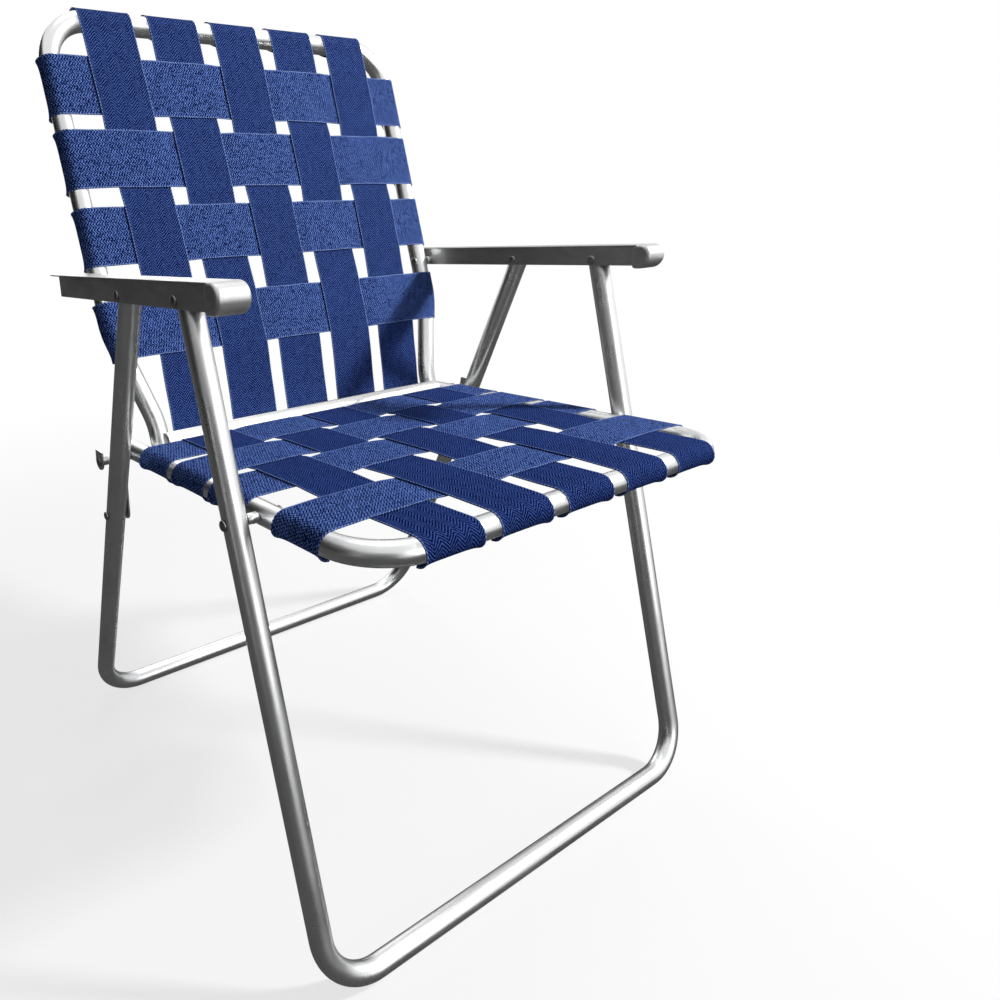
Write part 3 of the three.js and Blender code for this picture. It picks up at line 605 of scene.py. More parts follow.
PIVOT_IN_SEAT = SEAT.inside(SEAT_BACK_PIVOT)
PIVOT_IN_BACK = BACK.inside(SEAT_BACK_PIVOT)
SEAT_CORNERS = both_sides(
    (SEAT_LANE, PIVOT_IN_SEAT.x + SEAT_TAIL), (SEAT_LANE, 0, CORNER_RADIUS, CORNER_STEPS)
)
BACK_CORNERS = both_sides(
    (FOOT_LANE, PIVOT_IN_BACK.x - FOOT_TAIL),
    (FOOT_LANE, -JOGGLE_BOTTOM, JOGGLE_RADIUS, JOGGLE_STEPS),
    (BACK_LANE, -JOGGLE_TOP, JOGGLE_RADIUS, JOGGLE_STEPS),
    (BACK_LANE, BACK_TOP_REACH, CORNER_RADIUS, CORNER_STEPS),
)
tube("front_leg_tube", FRONT_LEG, leg_corners(FRONT_LEG), "front_legs", "front_leg_frame")
tube("rear_leg_tube", REAR_LEG, leg_corners(REAR_LEG), "rear_legs", "rear_leg_frame")
tube("seat_tube", SEAT, SEAT_CORNERS, "seat", "seat_frame")
tube("back_tube", BACK, BACK_CORNERS, "back", "back_frame")
CROSS_IN_BACK = BACK.inside(CROSS_TUBE)


def back_tube_at(height):
    """Distance of the back's side tube from the middle, at a height along the back."""
    points = [point for point, _ in bent_path(BACK_CORNERS)]
    points = points[: len(points) // 2]
    above = next(index for index, point in enumerate(points) if point.y > height)
    low, high = points[above - 1], points[above]
    share = (height - low.y) / (high.y - low.y)
    return -(low.x + (high.x - low.x) * share)


def cross_tube():
    """The tube at the foot of the back: its ends are closed and shaped round the side tubes."""
    vertices, uvs = [], []
    for step in range(CROSS_STATIONS):
        share = step / (CROSS_STATIONS - 1) * 2 - 1
        for index in range(TUBE_SIDES):
            angle = 2 * pi * index / TUBE_SIDES
            square = CROSS_IN_BACK.y + TUBE_RADIUS * sin(angle)
            beside = sqrt(max(0.0, WRAP_INNER**2 - square**2))
            half = FOOT_LANE - max(beside, CROSS_LAP)
            along = CROSS_IN_BACK.x + TUBE_RADIUS * cos(angle)
            vertices.append(BACK.at(share * half, along, square))
            uvs.append((share * half, angle * TUBE_RADIUS))
    faces = grid_faces(CROSS_STATIONS, TUBE_SIDES, wrap=True)
    for start, side in ((0, -1), ((CROSS_STATIONS - 1) * TUBE_SIDES, 1)):
        middle = len(vertices)
        vertices.append(BACK.at(side * (FOOT_LANE - CROSS_END), CROSS_IN_BACK.x, CROSS_IN_BACK.y))
        uvs.append((side * FOOT_LANE, 0.0))
        for index in range(TUBE_SIDES):
            following = (index + 1) % TUBE_SIDES
            face = (start + following, start + index, middle)
            faces.append(face if side < 0 else face[::-1])
    made = mesh_object("cross_tube", vertices, faces, uvs)
    make_outward(made)
    place(mark_sharp(made), "back", tube_metal, "tube", "back_cross_tube")


cross_tube()


# Rivets, spacers and plates, each with its mirror image
SIDES = (("left", -1), ("right", 1))


def lathe(name, profile, side_point, sign):
    """Turns (radius, x) pairs about a line across the chair through a side-view point."""
    vertices, uvs = [], []
    centre = world_point(side_point)
    run = 0.0
    for count, (radius, x) in enumerate(profile):
        if count:
            before = profile[count - 1]
            run += hypot(radius - before[0], x - before[1])
        for index in range(LATHE_SIDES):
            angle = 2 * pi * index / LATHE_SIDES
            offset = Vector((sign * x, radius * cos(angle), radius * sin(angle)))
            vertices.append(centre + offset)
            uvs.append((run, angle * SPACER_RADIUS))
    faces = grid_faces(len(profile), LATHE_SIDES, wrap=True, flip=sign > 0)
    count = len(vertices) - LATHE_SIDES
    if profile[0] == profile[-1]:
        vertices, uvs = vertices[:count], uvs[:count]
        faces = [tuple(index % count for index in face) for face in faces]
    else:
        start_cap = tuple(range(LATHE_SIDES))
        end_cap = tuple(count + index for index in start_cap)
        faces.append(start_cap if sign < 0 else start_cap[::-1])
        faces.append(end_cap[::-1] if sign < 0 else end_cap)
    return mark_sharp(mesh_object(name, vertices, faces, uvs), 50)


def dome(x, outward):
    """A domed rivet head, from its rim on a plate at x to its crown."""
    points = [(HEAD_RADIUS, x), (HEAD_RADIUS, x + outward * HEAD_RIM)]
    for step in range(1, HEAD_STEPS + 1):
        angle = QUARTER * step / HEAD_STEPS
        radius = max(HEAD_RADIUS * cos(angle), CENTRE_RADIUS)
        rise = HEAD_RIM + (HEAD_HEIGHT - HEAD_RIM) * sin(angle)
        points.append((radius, x + outward * rise))
    return points


def rivet_profile(start, end, head_at_start=True, head_at_end=True):
    near = dome(start, -1)[::-1] if head_at_start else [(CENTRE_RADIUS, start)]
    far = dome(end, 1) if head_at_end else [(CENTRE_RADIUS, end)]
    return [*near, (PIN_RADIUS, start), (PIN_RADIUS, end), *far]


def spacer_profile(start, end):
    bore = PIN_RADIUS + TOUCH_GAP
    edge = min(SPACER_EDGE, (end - start) / 4)
    return [
        (bore, start), (SPACER_RADIUS - edge, start), (SPACER_RADIUS, start + edge),
        (SPACER_RADIUS, end - edge), (SPACER_RADIUS - edge, end), (bore, end), (bore, start),
    ]


def lathe_pair(node_name, profile, side_point, body, material, slot):
    for side, sign in SIDES:
        made = lathe(f"{node_name}_{side}_piece", profile, side_point, sign)
        place(made, body, material, slot, f"{node_name}_{side}")


ARM_OUTSIDE = CHANNEL_HALF + TOUCH_GAP
LEG_RIVET = rivet_profile(LEG_LANE - ARM_OUTSIDE, LEG_LANE + ARM_OUTSIDE)
INNER_FLANGE = LEG_LANE - CHANNEL_HALF + FLANGE_THICKNESS
RAIL_OUTSIDE = SEAT_LANE + CLEAR_REACH
RAIL_INSIDE = SEAT_LANE - CLEAR_REACH
LEG_INSIDE = LEG_LANE - CLEAR_REACH
LEG_OUTSIDE = LEG_LANE + CLEAR_REACH
FOOT_OUTSIDE = FOOT_LANE + CLEAR_REACH
LINK_OUTER = LEG_INSIDE - TOUCH_GAP
LINK_INNER = LINK_OUTER - PLATE_GAUGE
EAR_INNER = LEG_OUTSIDE + TOUCH_GAP
EAR_OUTER = EAR_INNER + PLATE_GAUGE
BACK_TUBE_INSIDE = BACK_LANE - CLEAR_REACH
BACK_TUBE_OUTSIDE = BACK_LANE + CLEAR_REACH
CHANNEL_INSIDE = LEG_LANE - CHANNEL_HALF - TOUCH_GAP

for name, profile, point, body in (
    ("front_leg_rivet", LEG_RIVET, FRONT_LEG_PIVOT, "arms"),
    ("rear_leg_rivet", LEG_RIVET, REAR_LEG_PIVOT, "arms"),
    ("arm_back_rivet", rivet_profile(BACK_TUBE_INSIDE, INNER_FLANGE + TOUCH_GAP), BACK_PIVOT, "arms"),
    ("seat_leg_rivet", rivet_profile(RAIL_INSIDE, LEG_OUTSIDE), SEAT_LEG_PIVOT, "seat"),
    ("fold_pin", rivet_profile(FOOT_LANE - CLEAR_REACH, EAR_OUTER + TOUCH_GAP), SEAT_BACK_PIVOT, "seat"),
    ("link_foot_rivet", rivet_profile(LEG_LANE - TUBE_REACH + TOUCH_GAP, LEG_OUTSIDE, False, True),
     LINK_FOOT, "rear_legs"),
    ("link_foot_cap", rivet_profile(LINK_INNER - TOUCH_GAP, LINK_OUTER, True, False),
     LINK_FOOT, "links"),
):
    lathe_pair(name, profile, point, body, rivet_metal, "rivet")
for name, profile, point, body in (
    ("arm_back_spacer", spacer_profile(BACK_TUBE_OUTSIDE, CHANNEL_INSIDE), BACK_PIVOT, "arms"),
    ("seat_leg_spacer", spacer_profile(RAIL_OUTSIDE, LEG_INSIDE), SEAT_LEG_PIVOT, "seat"),
    ("foot_washer", spacer_profile(FOOT_OUTSIDE, RAIL_INSIDE), SEAT_BACK_PIVOT, "seat"),
    ("link_spacer", spacer_profile(RAIL_OUTSIDE, LINK_INNER - TOUCH_GAP), SEAT_BACK_PIVOT, "seat"),
    ("ear_spacer", spacer_profile(LINK_OUTER + TOUCH_GAP, EAR_INNER - TOUCH_GAP),
     SEAT_BACK_PIVOT, "links"),
):
    lathe_pair(name, profile, point, body, fitting_metal, "fitting")


def arc(centre, radius, start, end, steps):
    return [
        centre + turned(start + (end - start) * step / steps) * radius for step in range(steps + 1)
    ]


def plate(name, locate, outline, start, end, rounding, segments=3):
    """A flat plate with rounded edges: locate turns (outline point, depth) into a point."""
    count = len(outline)
    vertices = [locate(point, depth) for depth in (start, end) for point in outline]
    faces = [tuple(range(count)), tuple(range(count, 2 * count))[::-1]]
    uvs = [(point.x, point.y) for point in outline] + [(point.x, point.y) for point in outline[::-1]]
    run = 0.0
    for index, point in enumerate(outline):
        following = (index + 1) % count
        length = (outline[following] - point).length
        faces.append((following, index, count + index, count + following))
        uvs += [(run + length, start), (run, start), (run, end), (run + length, end)]
        run += length
    made = mesh_object(name, vertices, faces, uvs)
    make_outward(made)
    bevel = made.modifiers.new("rounding", "BEVEL")
    bevel.width = rounding
    bevel.segments = segments
    bevel.limit_method = "ANGLE"
    bevel.angle_limit = radians(40)
    return mark_sharp(made, 50)


def in_plane(plane):
    return lambda point, x: plane.at(x, point.x, point.y)


link_outline = [
    *arc(Vector((0, 0)), LINK_WIDTH / 2, QUARTER, 3 * QUARTER, PLATE_STEPS),
    *arc(Vector((LINK_LENGTH, 0)), LINK_WIDTH / 2, -QUARTER, QUARTER, PLATE_STEPS),
]
ear_outline = [
    *arc(Vector((0, 0)), EAR_RADIUS, -QUARTER, QUARTER, PLATE_STEPS),
    EAR_REACH * turned(pi - EAR_SPREAD / 2), EAR_REACH * turned(pi + EAR_SPREAD / 2),
]
for side, sign in SIDES:
    for kind, outline, inner, outer in (
        ("link_plate", link_outline, LINK_INNER, LINK_OUTER),
        ("ear_plate", ear_outline, EAR_INNER, EAR_OUTER),
    ):
        ends = sorted((sign * inner, sign * outer))
        made = plate(f"{kind}_{side}_piece", in_plane(LINK), outline, *ends, LINK_ROUNDING)
        place(made, "links", fitting_metal, "fitting", f"{kind}_{side}")


# Arms: a plate over two flanges, closed in front by a round cap
CAP_CENTRE = Vector((-ARM_SPAN - NOSE_REACH + CAP_RADIUS, PLATE_RISE + CAP_STAND - CAP_RADIUS))


def arm(side, sign):
    lane = sign * LEG_LANE
    half = PLATE_WIDTH / 2
    front = CAP_CENTRE.x + CAP_TAIL - CAP_TUCK
    tip = [
        Vector((half * cos(angle), TIP_START + (TIP_REACH - TIP_START) * sin(angle)))
        for angle in (pi * step / TIP_STEPS for step in range(TIP_STEPS + 1))
    ]
    plan = [Vector((-half, front)), Vector((half, front)), *tip]

    def locate_plan(point, up):
        return ARM.at(lane + point.x, point.y, up)

    top = plate(f"arm_{side}_plate", locate_plan, plan, PLATE_UNDER, PLATE_RISE, PLATE_ROUNDING)
    place(top, "arms", arm_metal, "arm", f"arm_{side}")

    cap_outline = [
        *arc(CAP_CENTRE, CAP_RADIUS, QUARTER, 3 * QUARTER, CAP_STEPS),
        CAP_CENTRE + Vector((CAP_TAIL, -CAP_RADIUS)),
        CAP_CENTRE + Vector((CAP_TAIL, CAP_RADIUS)),
    ]
    ends = (lane - half - CAP_EXTRA, lane + half + CAP_EXTRA)
    parts = [("cap", cap_outline, ends, CAP_ROUNDING, CAP_SEGMENTS)]
    reach = CHANNEL_HALF - FLANGE_THICKNESS
    for name, direction, tail in (("outer", sign, OUTER_TAIL), ("inner", -sign, INNER_TAIL)):
        flange = [
            Vector((tail, -FLANGE_DROP)), Vector((tail, PLATE_UNDER)),
            Vector((front, PLATE_UNDER)), Vector((front, -FLANGE_DROP)),
        ]
        ends = sorted((lane + direction * reach, lane + direction * CHANNEL_HALF))
        parts.append((f"{name}_flange", flange, ends, FLANGE_ROUNDING))
    for name, outline, ends, *rounding in parts:
        made = plate(f"arm_{side}_{name}", in_plane(ARM), outline, *ends, *rounding)
        place(made, "arms", arm_metal, "arm")


for side, sign in SIDES:
    arm(side, sign)


# Webbing: a strip follows a flat path of (u, v) pairs, resampled and eased
def wrap_arc(centre, radius, start, end):
    return arc(centre, radius, start, end, max(2, ceil(abs(end - start) / WRAP_ARC_STEP)))


def flat_run(centre, is_over):
    half = WEB_WIDTH / 2 + FLAT_MARGIN
    height = WRAP_MIDDLE + (OVER_LIFT if is_over else 0.0)
    return [Vector((centre - half, height)), Vector((centre + half, height))]


def resampled(points):
    lengths = [0.0]
    for start, end in zip(points, points[1:]):
        lengths.append(lengths[-1] + (end - start).length)
    count = max(2, round(lengths[-1] / WEB_STEP))
    made, index = [], 0
    for sample in range(count + 1):
        target = lengths[-1] * sample / count
        while index < len(lengths) - 2 and lengths[index + 1] < target:
            index += 1
        span = lengths[index + 1] - lengths[index]
        made.append(points[index].lerp(points[index + 1], (target - lengths[index]) / span))
    return made


def eased(points):
    for _ in range(EASE_PASSES):
        points = [
            points[0],
            *((a + 2 * b + c) / 4 for a, b, c in zip(points, points[1:], points[2:])),
            points[-1],
        ]
    return points


def strip_path(points):
    """Even stations along a strip: (point, facing, length from its start)."""
    points = eased(resampled(points))
    stations, run = [], 0.0
    for index, point in enumerate(points):
        if index:
            run += (point - points[index - 1]).length
        before, after = points[max(index - 1, 0)], points[min(index + 1, len(points) - 1)]
        heading = (after - before).normalized()
        stations.append((point, Vector((-heading.y, heading.x)), run))
    return stations


def strip_section():
    """Places across a strip, from -1 to 1, with its thickness there; closer near the edges."""
    half = WEB_WIDTH / 2
    left = [-1 + inset / half for inset in EDGE_INSETS]
    column = (2 - 2 * EDGE_INSETS[-1] / half) / WEB_COLUMNS
    inner = [left[-1] + column * index for index in range(1, WEB_COLUMNS)]
    section = []
    for share in left + inner + [-place for place in left[::-1]]:
        from_edge = (1 - abs(share)) * half
        if from_edge < EDGE_SKIN:
            thickness = EDGE_THICKNESS
        elif from_edge < EDGE_BEAD:
            thickness = BEAD_THICKNESS
        else:
            thickness = BODY_THICKNESS
        section.append((share, thickness))
    return section


SECTION = strip_section()


def looseness(from_end):
    """How far a strip's edges stand off the tube near a folded end, from 0 to 1."""
    share = max(0.0, 1 - abs(from_end - LOOSE_FROM_END) / LOOSE_REACH)
    return share * share * (3 - 2 * share)


def strip(name, stations, locate, seed, folds=(True, True), span=None):
    """The mesh of a woven strip. locate turns (flat point, distance across) into a point.

    folds says which ends are folded to a tip; span limits the piece to some of the stations.
    """
    draw = random.Random(seed)
    waves = [(draw.uniform(*EDGE_WAVES), draw.uniform(0, 2 * pi)) for _ in range(4)]
    total = stations[-1][2]
    chosen = stations if span is None else stations[span[0] : span[1] + 1]
    tops, unders, uvs = [], [], []
    half = WEB_WIDTH / 2
    for point, facing, run in chosen:
        from_folds = [run] * folds[0] + [total - run] * folds[1]
        fold = max(0.0, *(1 - distance / FOLD_RUN for distance in from_folds))
        narrow = 1 - (1 - FOLD_TIP_SHARE) * fold
        doubled = FOLD_DOUBLE * min(1.0, fold * FOLD_ONSET)
        loose = LOOSE_EDGE * max(looseness(distance) for distance in from_folds)
        for share, thickness in SECTION:
            length, shift = waves[0 if share < 0 else 2]
            sway = sin(run / length * 2 * pi + shift) * EDGE_SWAY
            across = (share * half + sway * abs(share)) * narrow
            lift = loose * abs(share) ** LOOSE_POWER
            middle = point + facing * (lift + doubled / 2)
            thick = thickness / 2 + doubled / 2
            tops.append(locate(middle + facing * thick, across))
            unders.append(locate(middle - facing * thick, across))
            uvs.append((run, share * half))
    columns = len(SECTION)
    rows = len(chosen)
    start = len(tops)
    faces = grid_faces(rows, columns) + grid_faces(rows, columns, start=start, flip=True)
    grid = [range(row * columns, (row + 1) * columns) for row in range(rows)]
    border = [*grid[0], *(row[-1] for row in grid[1:-1]), *grid[-1][::-1],
              *(row[0] for row in grid[-2:0:-1])]
    faces += [(b, a, start + a, start + b) for a, b in zip(border, border[1:] + border[:1])]
    made = mesh_object(name, tops + unders, faces, uvs + uvs)
    make_outward(made)
    return mark_sharp(made, 70)


def lay(piece, material, length, rests_on, body, *nodes):
    """Dresses a strip. Its flat size, measured along its middle line, is not used."""
    piece.visible_glossy = False  # the metal stays a neutral grey, as in the photo
    place(piece, body, material, "webbing", *nodes)


def strip_centres(start, end, gap_shares):
    """Centres of strips between two ends; before each goes its share of the room to spare."""
    least_gap = 2 * FLAT_MARGIN
    spare = end - start + least_gap - len(gap_shares) * (WEB_WIDTH + least_gap)
    centres, edge = [], start
    for share in gap_shares:
        centres.append(edge + share * spare + WEB_WIDTH / 2)
        edge = centres[-1] + WEB_WIDTH / 2 + least_gap
    return centres


def strap_pitch(lane, edge_gap):
    return (2 * (lane - TUBE_REACH - edge_gap) - WEB_WIDTH) / (STRAP_COUNT - 1)


strap_places = [index - (STRAP_COUNT - 1) / 2 for index in range(STRAP_COUNT)]
LEG_PIVOT_IN_SEAT = SEAT.inside(SEAT_LEG_PIVOT)
CROSS_IN_SEAT = SEAT.inside(CROSS_TUBE)
seat_row_centres = [
    LEG_PIVOT_IN_SEAT.x - ROW_BEFORE_PIVOT - WEB_WIDTH / 2,
    *strip_centres(
        LEG_PIVOT_IN_SEAT.x + ROW_BEHIND_PIVOT, CROSS_IN_SEAT.x - LAST_ROW_TO_CROSS, SEAT_GAP_SHARES
    ),
]
seat_strap_centres = [place * strap_pitch(SEAT_LANE, SEAT_EDGE_GAP) for place in strap_places]
upper_rows = strip_centres(ROW_ABOVE_PIVOT, BACK_TOP_REACH - TOP_ROW_TO_TUBE, BACK_GAP_SHARES)
back_row_centres = [*upper_rows[::-1], -ROW_BELOW_PIVOT - WEB_WIDTH / 2]
BACK_PITCH_TOP = strap_pitch(BACK_LANE, BACK_TOP_EDGE_GAP)
BACK_PITCH_BOTTOM = strap_pitch(FOOT_LANE, BACK_FOOT_EDGE_GAP)
BACK_RUN = BACK_TOP_REACH - PIVOT_IN_BACK.x
screws = {"seat": [], "back": []}


def back_strap_centre(place, height):
    share = (height - PIVOT_IN_BACK.x) / BACK_RUN
    return place * (BACK_PITCH_BOTTOM + (BACK_PITCH_TOP - BACK_PITCH_BOTTOM) * share)


def tangent_angle(point, centre, side):
    """Where a strip from the point meets its wrap round a tube, on one side of the tube."""
    offset = point - centre
    return atan2(offset.y, offset.x) + side * acos(WRAP_MIDDLE / offset.length)


def row_points(tube_x, radius, centres, starts_over):
    left = wrap_arc(Vector((-tube_x, 0)), radius, 3 * QUARTER + FOLD_ANGLE, QUARTER)
    right = wrap_arc(Vector((tube_x, 0)), radius, QUARTER, -QUARTER - FOLD_ANGLE)
    middle = []
    for index, centre in enumerate(centres):
        middle += flat_run(centre, (index % 2 == 0) == starts_over)
    return left + middle + right


SCREW_REACH = WRAP_MIDDLE + FOLD_DOUBLE + BODY_THICKNESS / 2


def row_screws(body, tube_x, height):
    for sign in (-1, 1):
        outward = turned(-QUARTER - sign * (FOLD_ANGLE - SCREW_BACK))
        at = Vector((sign * tube_x, 0)) + outward * SCREW_REACH
        screws[body].append(((at.x, height, at.y), (outward.x, 0.0, outward.y)))


def strap_screw(body, x, centre, angle):
    outward = turned(angle)
    at = centre + outward * SCREW_REACH
    screws[body].append(((x, at.x, at.y), (0.0, outward.x, outward.y)))


bending = []
for row, centre in enumerate(seat_row_centres):
    stations = strip_path(row_points(SEAT_LANE, WRAP_MIDDLE, seat_strap_centres, row % 2 == 0))

    def locate_row(point, across, centre=centre):
        return SEAT.at(point.x, centre + across, point.y)

    row_screws("seat", SEAT_LANE, centre)
    name = f"seat_row_{row + 1}"
    if row < len(seat_row_centres) - 1:
        made = strip(f"{name}_web", stations, locate_row, seed=row)
        lay(made, crosswise_webbing_painted_sheen, stations[-1][2], ["seat_tube"], "seat", name)
        continue
    # The last row bends between the rails when the chair folds: it is made as two ends that go with the
    # seat round the rails, and a middle with no body
    inner_edge = SEAT_LANE - WRAP_INNER - END_PIECE_INSET
    first = next(index for index, (point, facing, _) in enumerate(stations)
                 if point.x > -inner_edge and facing.y > 0.5) - 1
    end = len(stations) - 1
    for part, span, body, nodes in (
        ("left_end", (0, first), "seat", ()),
        ("middle", (first, end - first), None, (name,)),
        ("right_end", (end - first, end), "seat", ()),
    ):
        made = strip(f"{name}_{part}", stations, locate_row, seed=row, span=span)
        length = stations[span[1]][2] - stations[span[0]][2]
        lay(made, crosswise_webbing_painted_sheen, length, ["seat_tube"], body, *nodes)
        if body is None:
            bending.append(made)

# Seat straps run to the cross tube of the back and bend there with the last row when the chair folds;
# they have no body
for strap, centre in enumerate(seat_strap_centres):
    points = wrap_arc(Vector((0, 0)), WRAP_MIDDLE, 3 * QUARTER + FOLD_ANGLE, QUARTER)
    for row, row_centre in enumerate(seat_row_centres):
        points += flat_run(row_centre, (row + strap) % 2 == 1)
    tangent = tangent_angle(points[-1], CROSS_IN_SEAT, 1) % (2 * pi)
    points += wrap_arc(CROSS_IN_SEAT, WRAP_MIDDLE, tangent, SEAT_STRAP_END)
    stations = strip_path(points)

    def locate_strap(point, across, centre=centre):
        return SEAT.at(centre - across, point.x, point.y)

    made = strip(f"seat_strap_{strap + 1}_web", stations, locate_strap, 20 + strap, (True, False))
    lay(made, seat_strap_webbing_painted_shade, stations[-1][2], ["seat_tube", "cross_tube"], None,
        f"seat_strap_{strap + 1}", f"seat_strap_tail_{strap + 1}")
    bending.append(made)
    strap_screw("seat", centre, Vector((0, 0)), -QUARTER + FOLD_ANGLE - SCREW_BACK)

# The bending webbing has its placement applied to its mesh
for piece in bending:
    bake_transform(piece)

for row, centre in enumerate(back_row_centres):
    tapered = row == len(back_row_centres) - 1
    slant = atan2(BACK_LANE - FOOT_LANE, JOGGLE_BOTTOM - JOGGLE_TOP)
    radius = WRAP_INNER / cos(slant) + WEB_THICKNESS / 2 if tapered else WRAP_MIDDLE
    tube_x = back_tube_at(centre) if tapered else BACK_LANE
    centres = [back_strap_centre(strap_place, centre) for strap_place in strap_places]
    stations = strip_path(row_points(tube_x, radius, centres, row % 2 == 1))

    def locate_back_row(point, across, centre=centre, tapered=tapered, tube_x=tube_x):
        height = centre - across
        spread = (back_tube_at(height) - tube_x) if tapered else 0.0
        share = max(-1.0, min(1.0, point.x / tube_x))
        return BACK.at(point.x + spread * share, height, point.y)

    made = strip(f"back_row_{row + 1}_web", stations, locate_back_row, 40 + row)
    lay(made, crosswise_webbing_painted_sheen, stations[-1][2], ["back_tube"], "back", f"back_row_{row + 1}")
    row_screws("back", tube_x, centre)

for strap, strap_place in enumerate(strap_places):
    points = wrap_arc(Vector((BACK_TOP_REACH, 0)), WRAP_MIDDLE, -QUARTER - FOLD_ANGLE, QUARTER)
    for row, row_centre in enumerate(back_row_centres):
        points += flat_run(row_centre, (row + strap) % 2 == 0)[::-1]
    tangent = tangent_angle(points[-1], CROSS_IN_BACK, -1)
    points += wrap_arc(CROSS_IN_BACK, WRAP_MIDDLE, tangent, BACK_STRAP_END)
    stations = strip_path(points[::-1])

    def locate_back_strap(point, across, strap_place=strap_place):
        return BACK.at(back_strap_centre(strap_place, point.x) + across, point.x, point.y)

    made = strip(f"back_strap_{strap + 1}_web", stations, locate_back_strap, 60 + strap, (False, True))
    lay(made, back_strap_webbing_painted_sheen, stations[-1][2], ["back_tube", "cross_tube"], "back",
        f"back_strap_{strap + 1}")
    strap_screw("back", back_strap_centre(strap_place, BACK_TOP_REACH), Vector((BACK_TOP_REACH, 0)),
                -QUARTER - FOLD_ANGLE + SCREW_BACK)


# Screws that hold the folded ends of the webbing: (radius, rise) from crown to tip, in millimetres
SCREW_PROFILE = (
    (0.02, 1.9), (1.2, 1.85), (2.3, 1.6), (3.0, 1.1), (3.3, 0.55), (3.4, 0.5), (4.3, 0.45),
    (4.5, 0.25), (4.5, -0.1), (1.6, -0.1), (1.6, -3.2), (0.02, -3.2),
)
SCREW_SIDES = 20
SCREW_MEAN_RADIUS = 3 * MM


def screw_mesh(body, plane):
    vertices, faces, uvs = [], [], []
    for at, outward in screws[body]:
        centre = plane.at(*at)
        axis = plane.direction(*outward).normalized()
        beside = axis.orthogonal().normalized()
        third = axis.cross(beside)
        start = len(vertices)
        for radius, rise in SCREW_PROFILE:
            for index in range(SCREW_SIDES):
                angle = 2 * pi * index / SCREW_SIDES
                offset = (beside * cos(angle) + third * sin(angle)) * radius * MM
                vertices.append(centre + axis * rise * MM + offset)
                uvs.append((radius * MM, angle * SCREW_MEAN_RADIUS))
        faces += grid_faces(len(SCREW_PROFILE), SCREW_SIDES, start=start, wrap=True, flip=True)
        end = start + (len(SCREW_PROFILE) - 1) * SCREW_SIDES
        faces += [tuple(range(start, start + SCREW_SIDES)), tuple(range(end, end + SCREW_SIDES))[::-1]]
    made = mesh_object(f"{body}_webbing_screws", vertices, faces, uvs)
    make_outward(made)
    place(mark_sharp(made, 45), body, rivet_metal, "rivet")


screw_mesh("seat", SEAT)
screw_mesh("back", BACK)


# Floor, backdrop, light and camera
FLOOR_SEEN = (0.93, 0.93, 0.93, 1.0)
FLOOR_UNSEEN = (0.3, 0.3, 0.3, 1.0)
FLOOR_SIZE = 24.0
FLOOR_LEVEL = -0.4 * MM
FADE_REACHES = (0.55, 1.5)
FADE_SHARES = (0.72, 1.0)
AMBIENT = 0.08
SEAT_MIDDLE = (0.0, -0.05, 0.45)


def floor_material():
    """Pale ground that keeps the chair's shadow and turns to plain white away from it."""
    material, tree, shader = new_material("pale_floor")
    seen = seen_directly(tree)
    feed(tree, shader, {
        "Base Color": mix(tree, seen, FLOOR_UNSEEN, FLOOR_SEEN),
        "Roughness": 0.9,
        "Specular IOR Level": 0.1,
    })
    at = node(tree, "ShaderNodeNewGeometry").outputs["Position"]
    reach = node(tree, "ShaderNodeVectorMath", {0: at}, operation="LENGTH").outputs["Value"]
    share = times(tree, seen, ramp(tree, reach, *FADE_REACHES, *FADE_SHARES))
    inputs = {0: share, 1: shader.outputs[0], 2: white_glow(tree, 1.0)}
    mixed = node(tree, "ShaderNodeMixShader", inputs).outputs[0]
    feed(tree, tree.nodes["Material Output"], {"Surface": mixed})
    return material


floor = panel("floor", FLOOR_SIZE, FLOOR_SIZE, FLOOR_LEVEL)
bpy.context.scene.collection.objects.link(floor)
floor.data.materials.append(floor_material())

world = bpy.data.worlds.new("studio")
bpy.context.scene.world = world
world.use_nodes = True
world_tree = world.node_tree
strength = weighted(world_tree, seen_directly(world_tree), 1.0 - AMBIENT, AMBIENT)
feed(world_tree, world_tree.nodes["Background"], {"Color": WHITE, "Strength": strength})


def aimed(made, location, target):
    made.location = location
    direction = Vector(target) - Vector(location)
    made.rotation_euler = direction.to_track_quat("-Z", "Y").to_euler()
    bpy.context.scene.collection.objects.link(made)


def area_light(name, location, size, power):
    light = bpy.data.lights.new(name, "AREA")
    light.shape = "DISK"
    light.size = size
    light.energy = power
    aimed(bpy.data.objects.new(name, light), location, SEAT_MIDDLE)


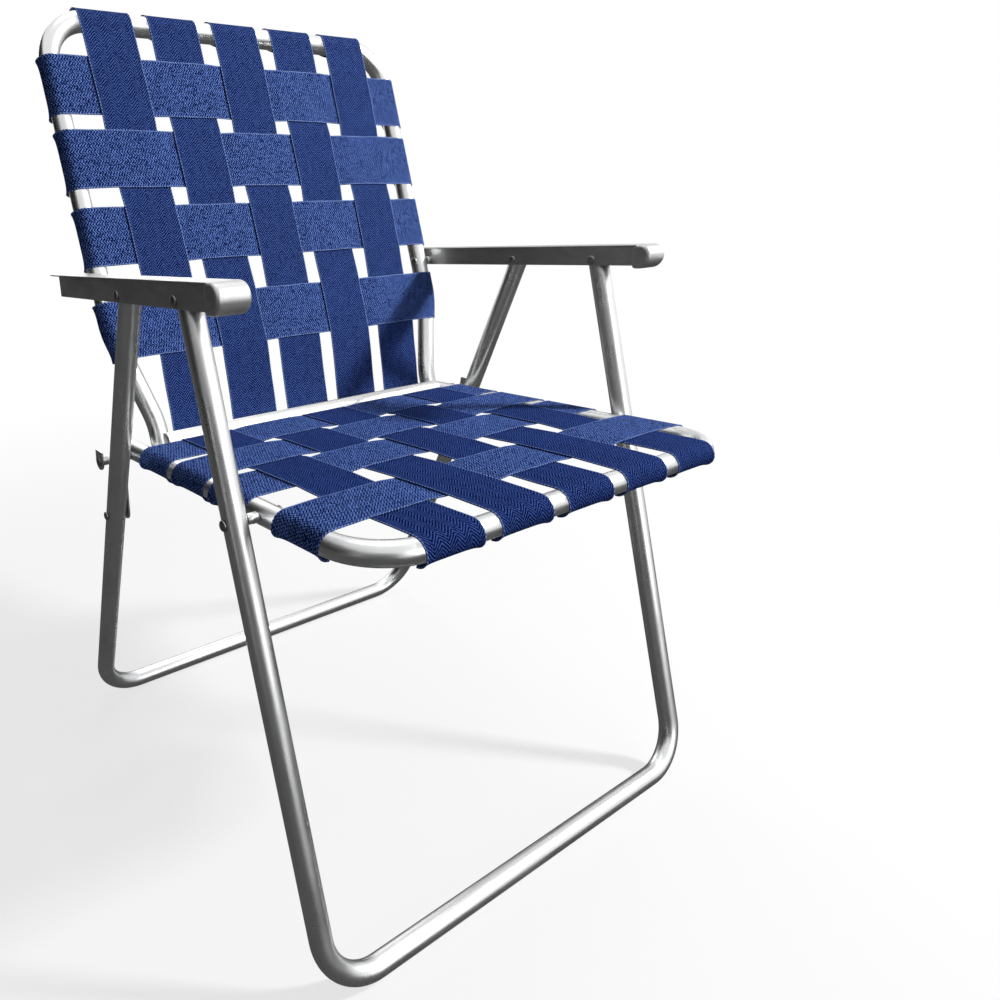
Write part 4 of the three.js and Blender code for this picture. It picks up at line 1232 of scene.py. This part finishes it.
area_light("key", (2.9, -1.5, 2.9), size=0.5, power=165)
area_light("fill", (0.7, -3.4, 1.5), size=2.0, power=20)
area_light("top", (0.6, 0.8, 3.4), size=2.0, power=18)
area_light("rear", (0.9, 3.4, 1.5), size=2.0, power=14)


def card(name, location, target, width, height, glow):
    """A plain panel that only polished metal sees, for the grey bands along the tubes."""
    material, tree, _ = new_material(name)
    feed(tree, tree.nodes["Material Output"], {"Surface": white_glow(tree, glow)})
    made = panel(name, width, height)
    made.data.materials.append(material)
    aimed(made, location, target)
    made.visible_camera = False
    made.visible_diffuse = False
    made.visible_shadow = False
    made.visible_transmission = False


card("card_left", (-2.8, 1.8, 1.0), (0, 0, 0.6), width=8.0, height=4.4, glow=0.015)
card("card_front", (-2.4, -2.8, 1.0), (0, 0, 0.6), width=3.6, height=2.4, glow=0.12)
card("card_right", (2.6, 2.4, 0.6), (0, 0, 0.5), width=1.8, height=1.8, glow=0.1)
card("card_floor", (0, 0, 0.2 * MM), (0, 0, 1), width=8.0, height=8.0, glow=0.09)

CAMERA_PLACE = (-591.5 * MM, -642.7 * MM, 714.3 * MM)
CAMERA_TURN = radians(34.35)
CAMERA_PITCH = radians(25.18)
CAMERA_ROLL = radians(1.36)
FOCAL_SHARE = 0.7744
CENTRE_ACROSS = 0.26
CENTRE_DOWN = 0.502
SENSOR_WIDTH = 36.0
CLIP_NEAR = 0.05
CLIP_FAR = 60.0
camera_data = bpy.data.cameras.new("camera")
camera_data.sensor_width = SENSOR_WIDTH
camera_data.lens = FOCAL_SHARE * SENSOR_WIDTH
camera_data.shift_x = 0.5 - CENTRE_ACROSS
camera_data.shift_y = CENTRE_DOWN - 0.5
camera_data.clip_start = CLIP_NEAR
camera_data.clip_end = CLIP_FAR
camera = bpy.data.objects.new("camera", camera_data)
camera.matrix_world = (
    Matrix.Translation(CAMERA_PLACE)
    @ Matrix.Rotation(-CAMERA_TURN, 4, "Z")
    @ Matrix.Rotation(QUARTER - CAMERA_PITCH, 4, "X")
    @ Matrix.Rotation(CAMERA_ROLL, 4, "Z")
)
bpy.context.scene.collection.objects.link(camera)
bpy.context.scene.camera = camera
bpy.context.scene.view_settings.view_transform = "Standard"
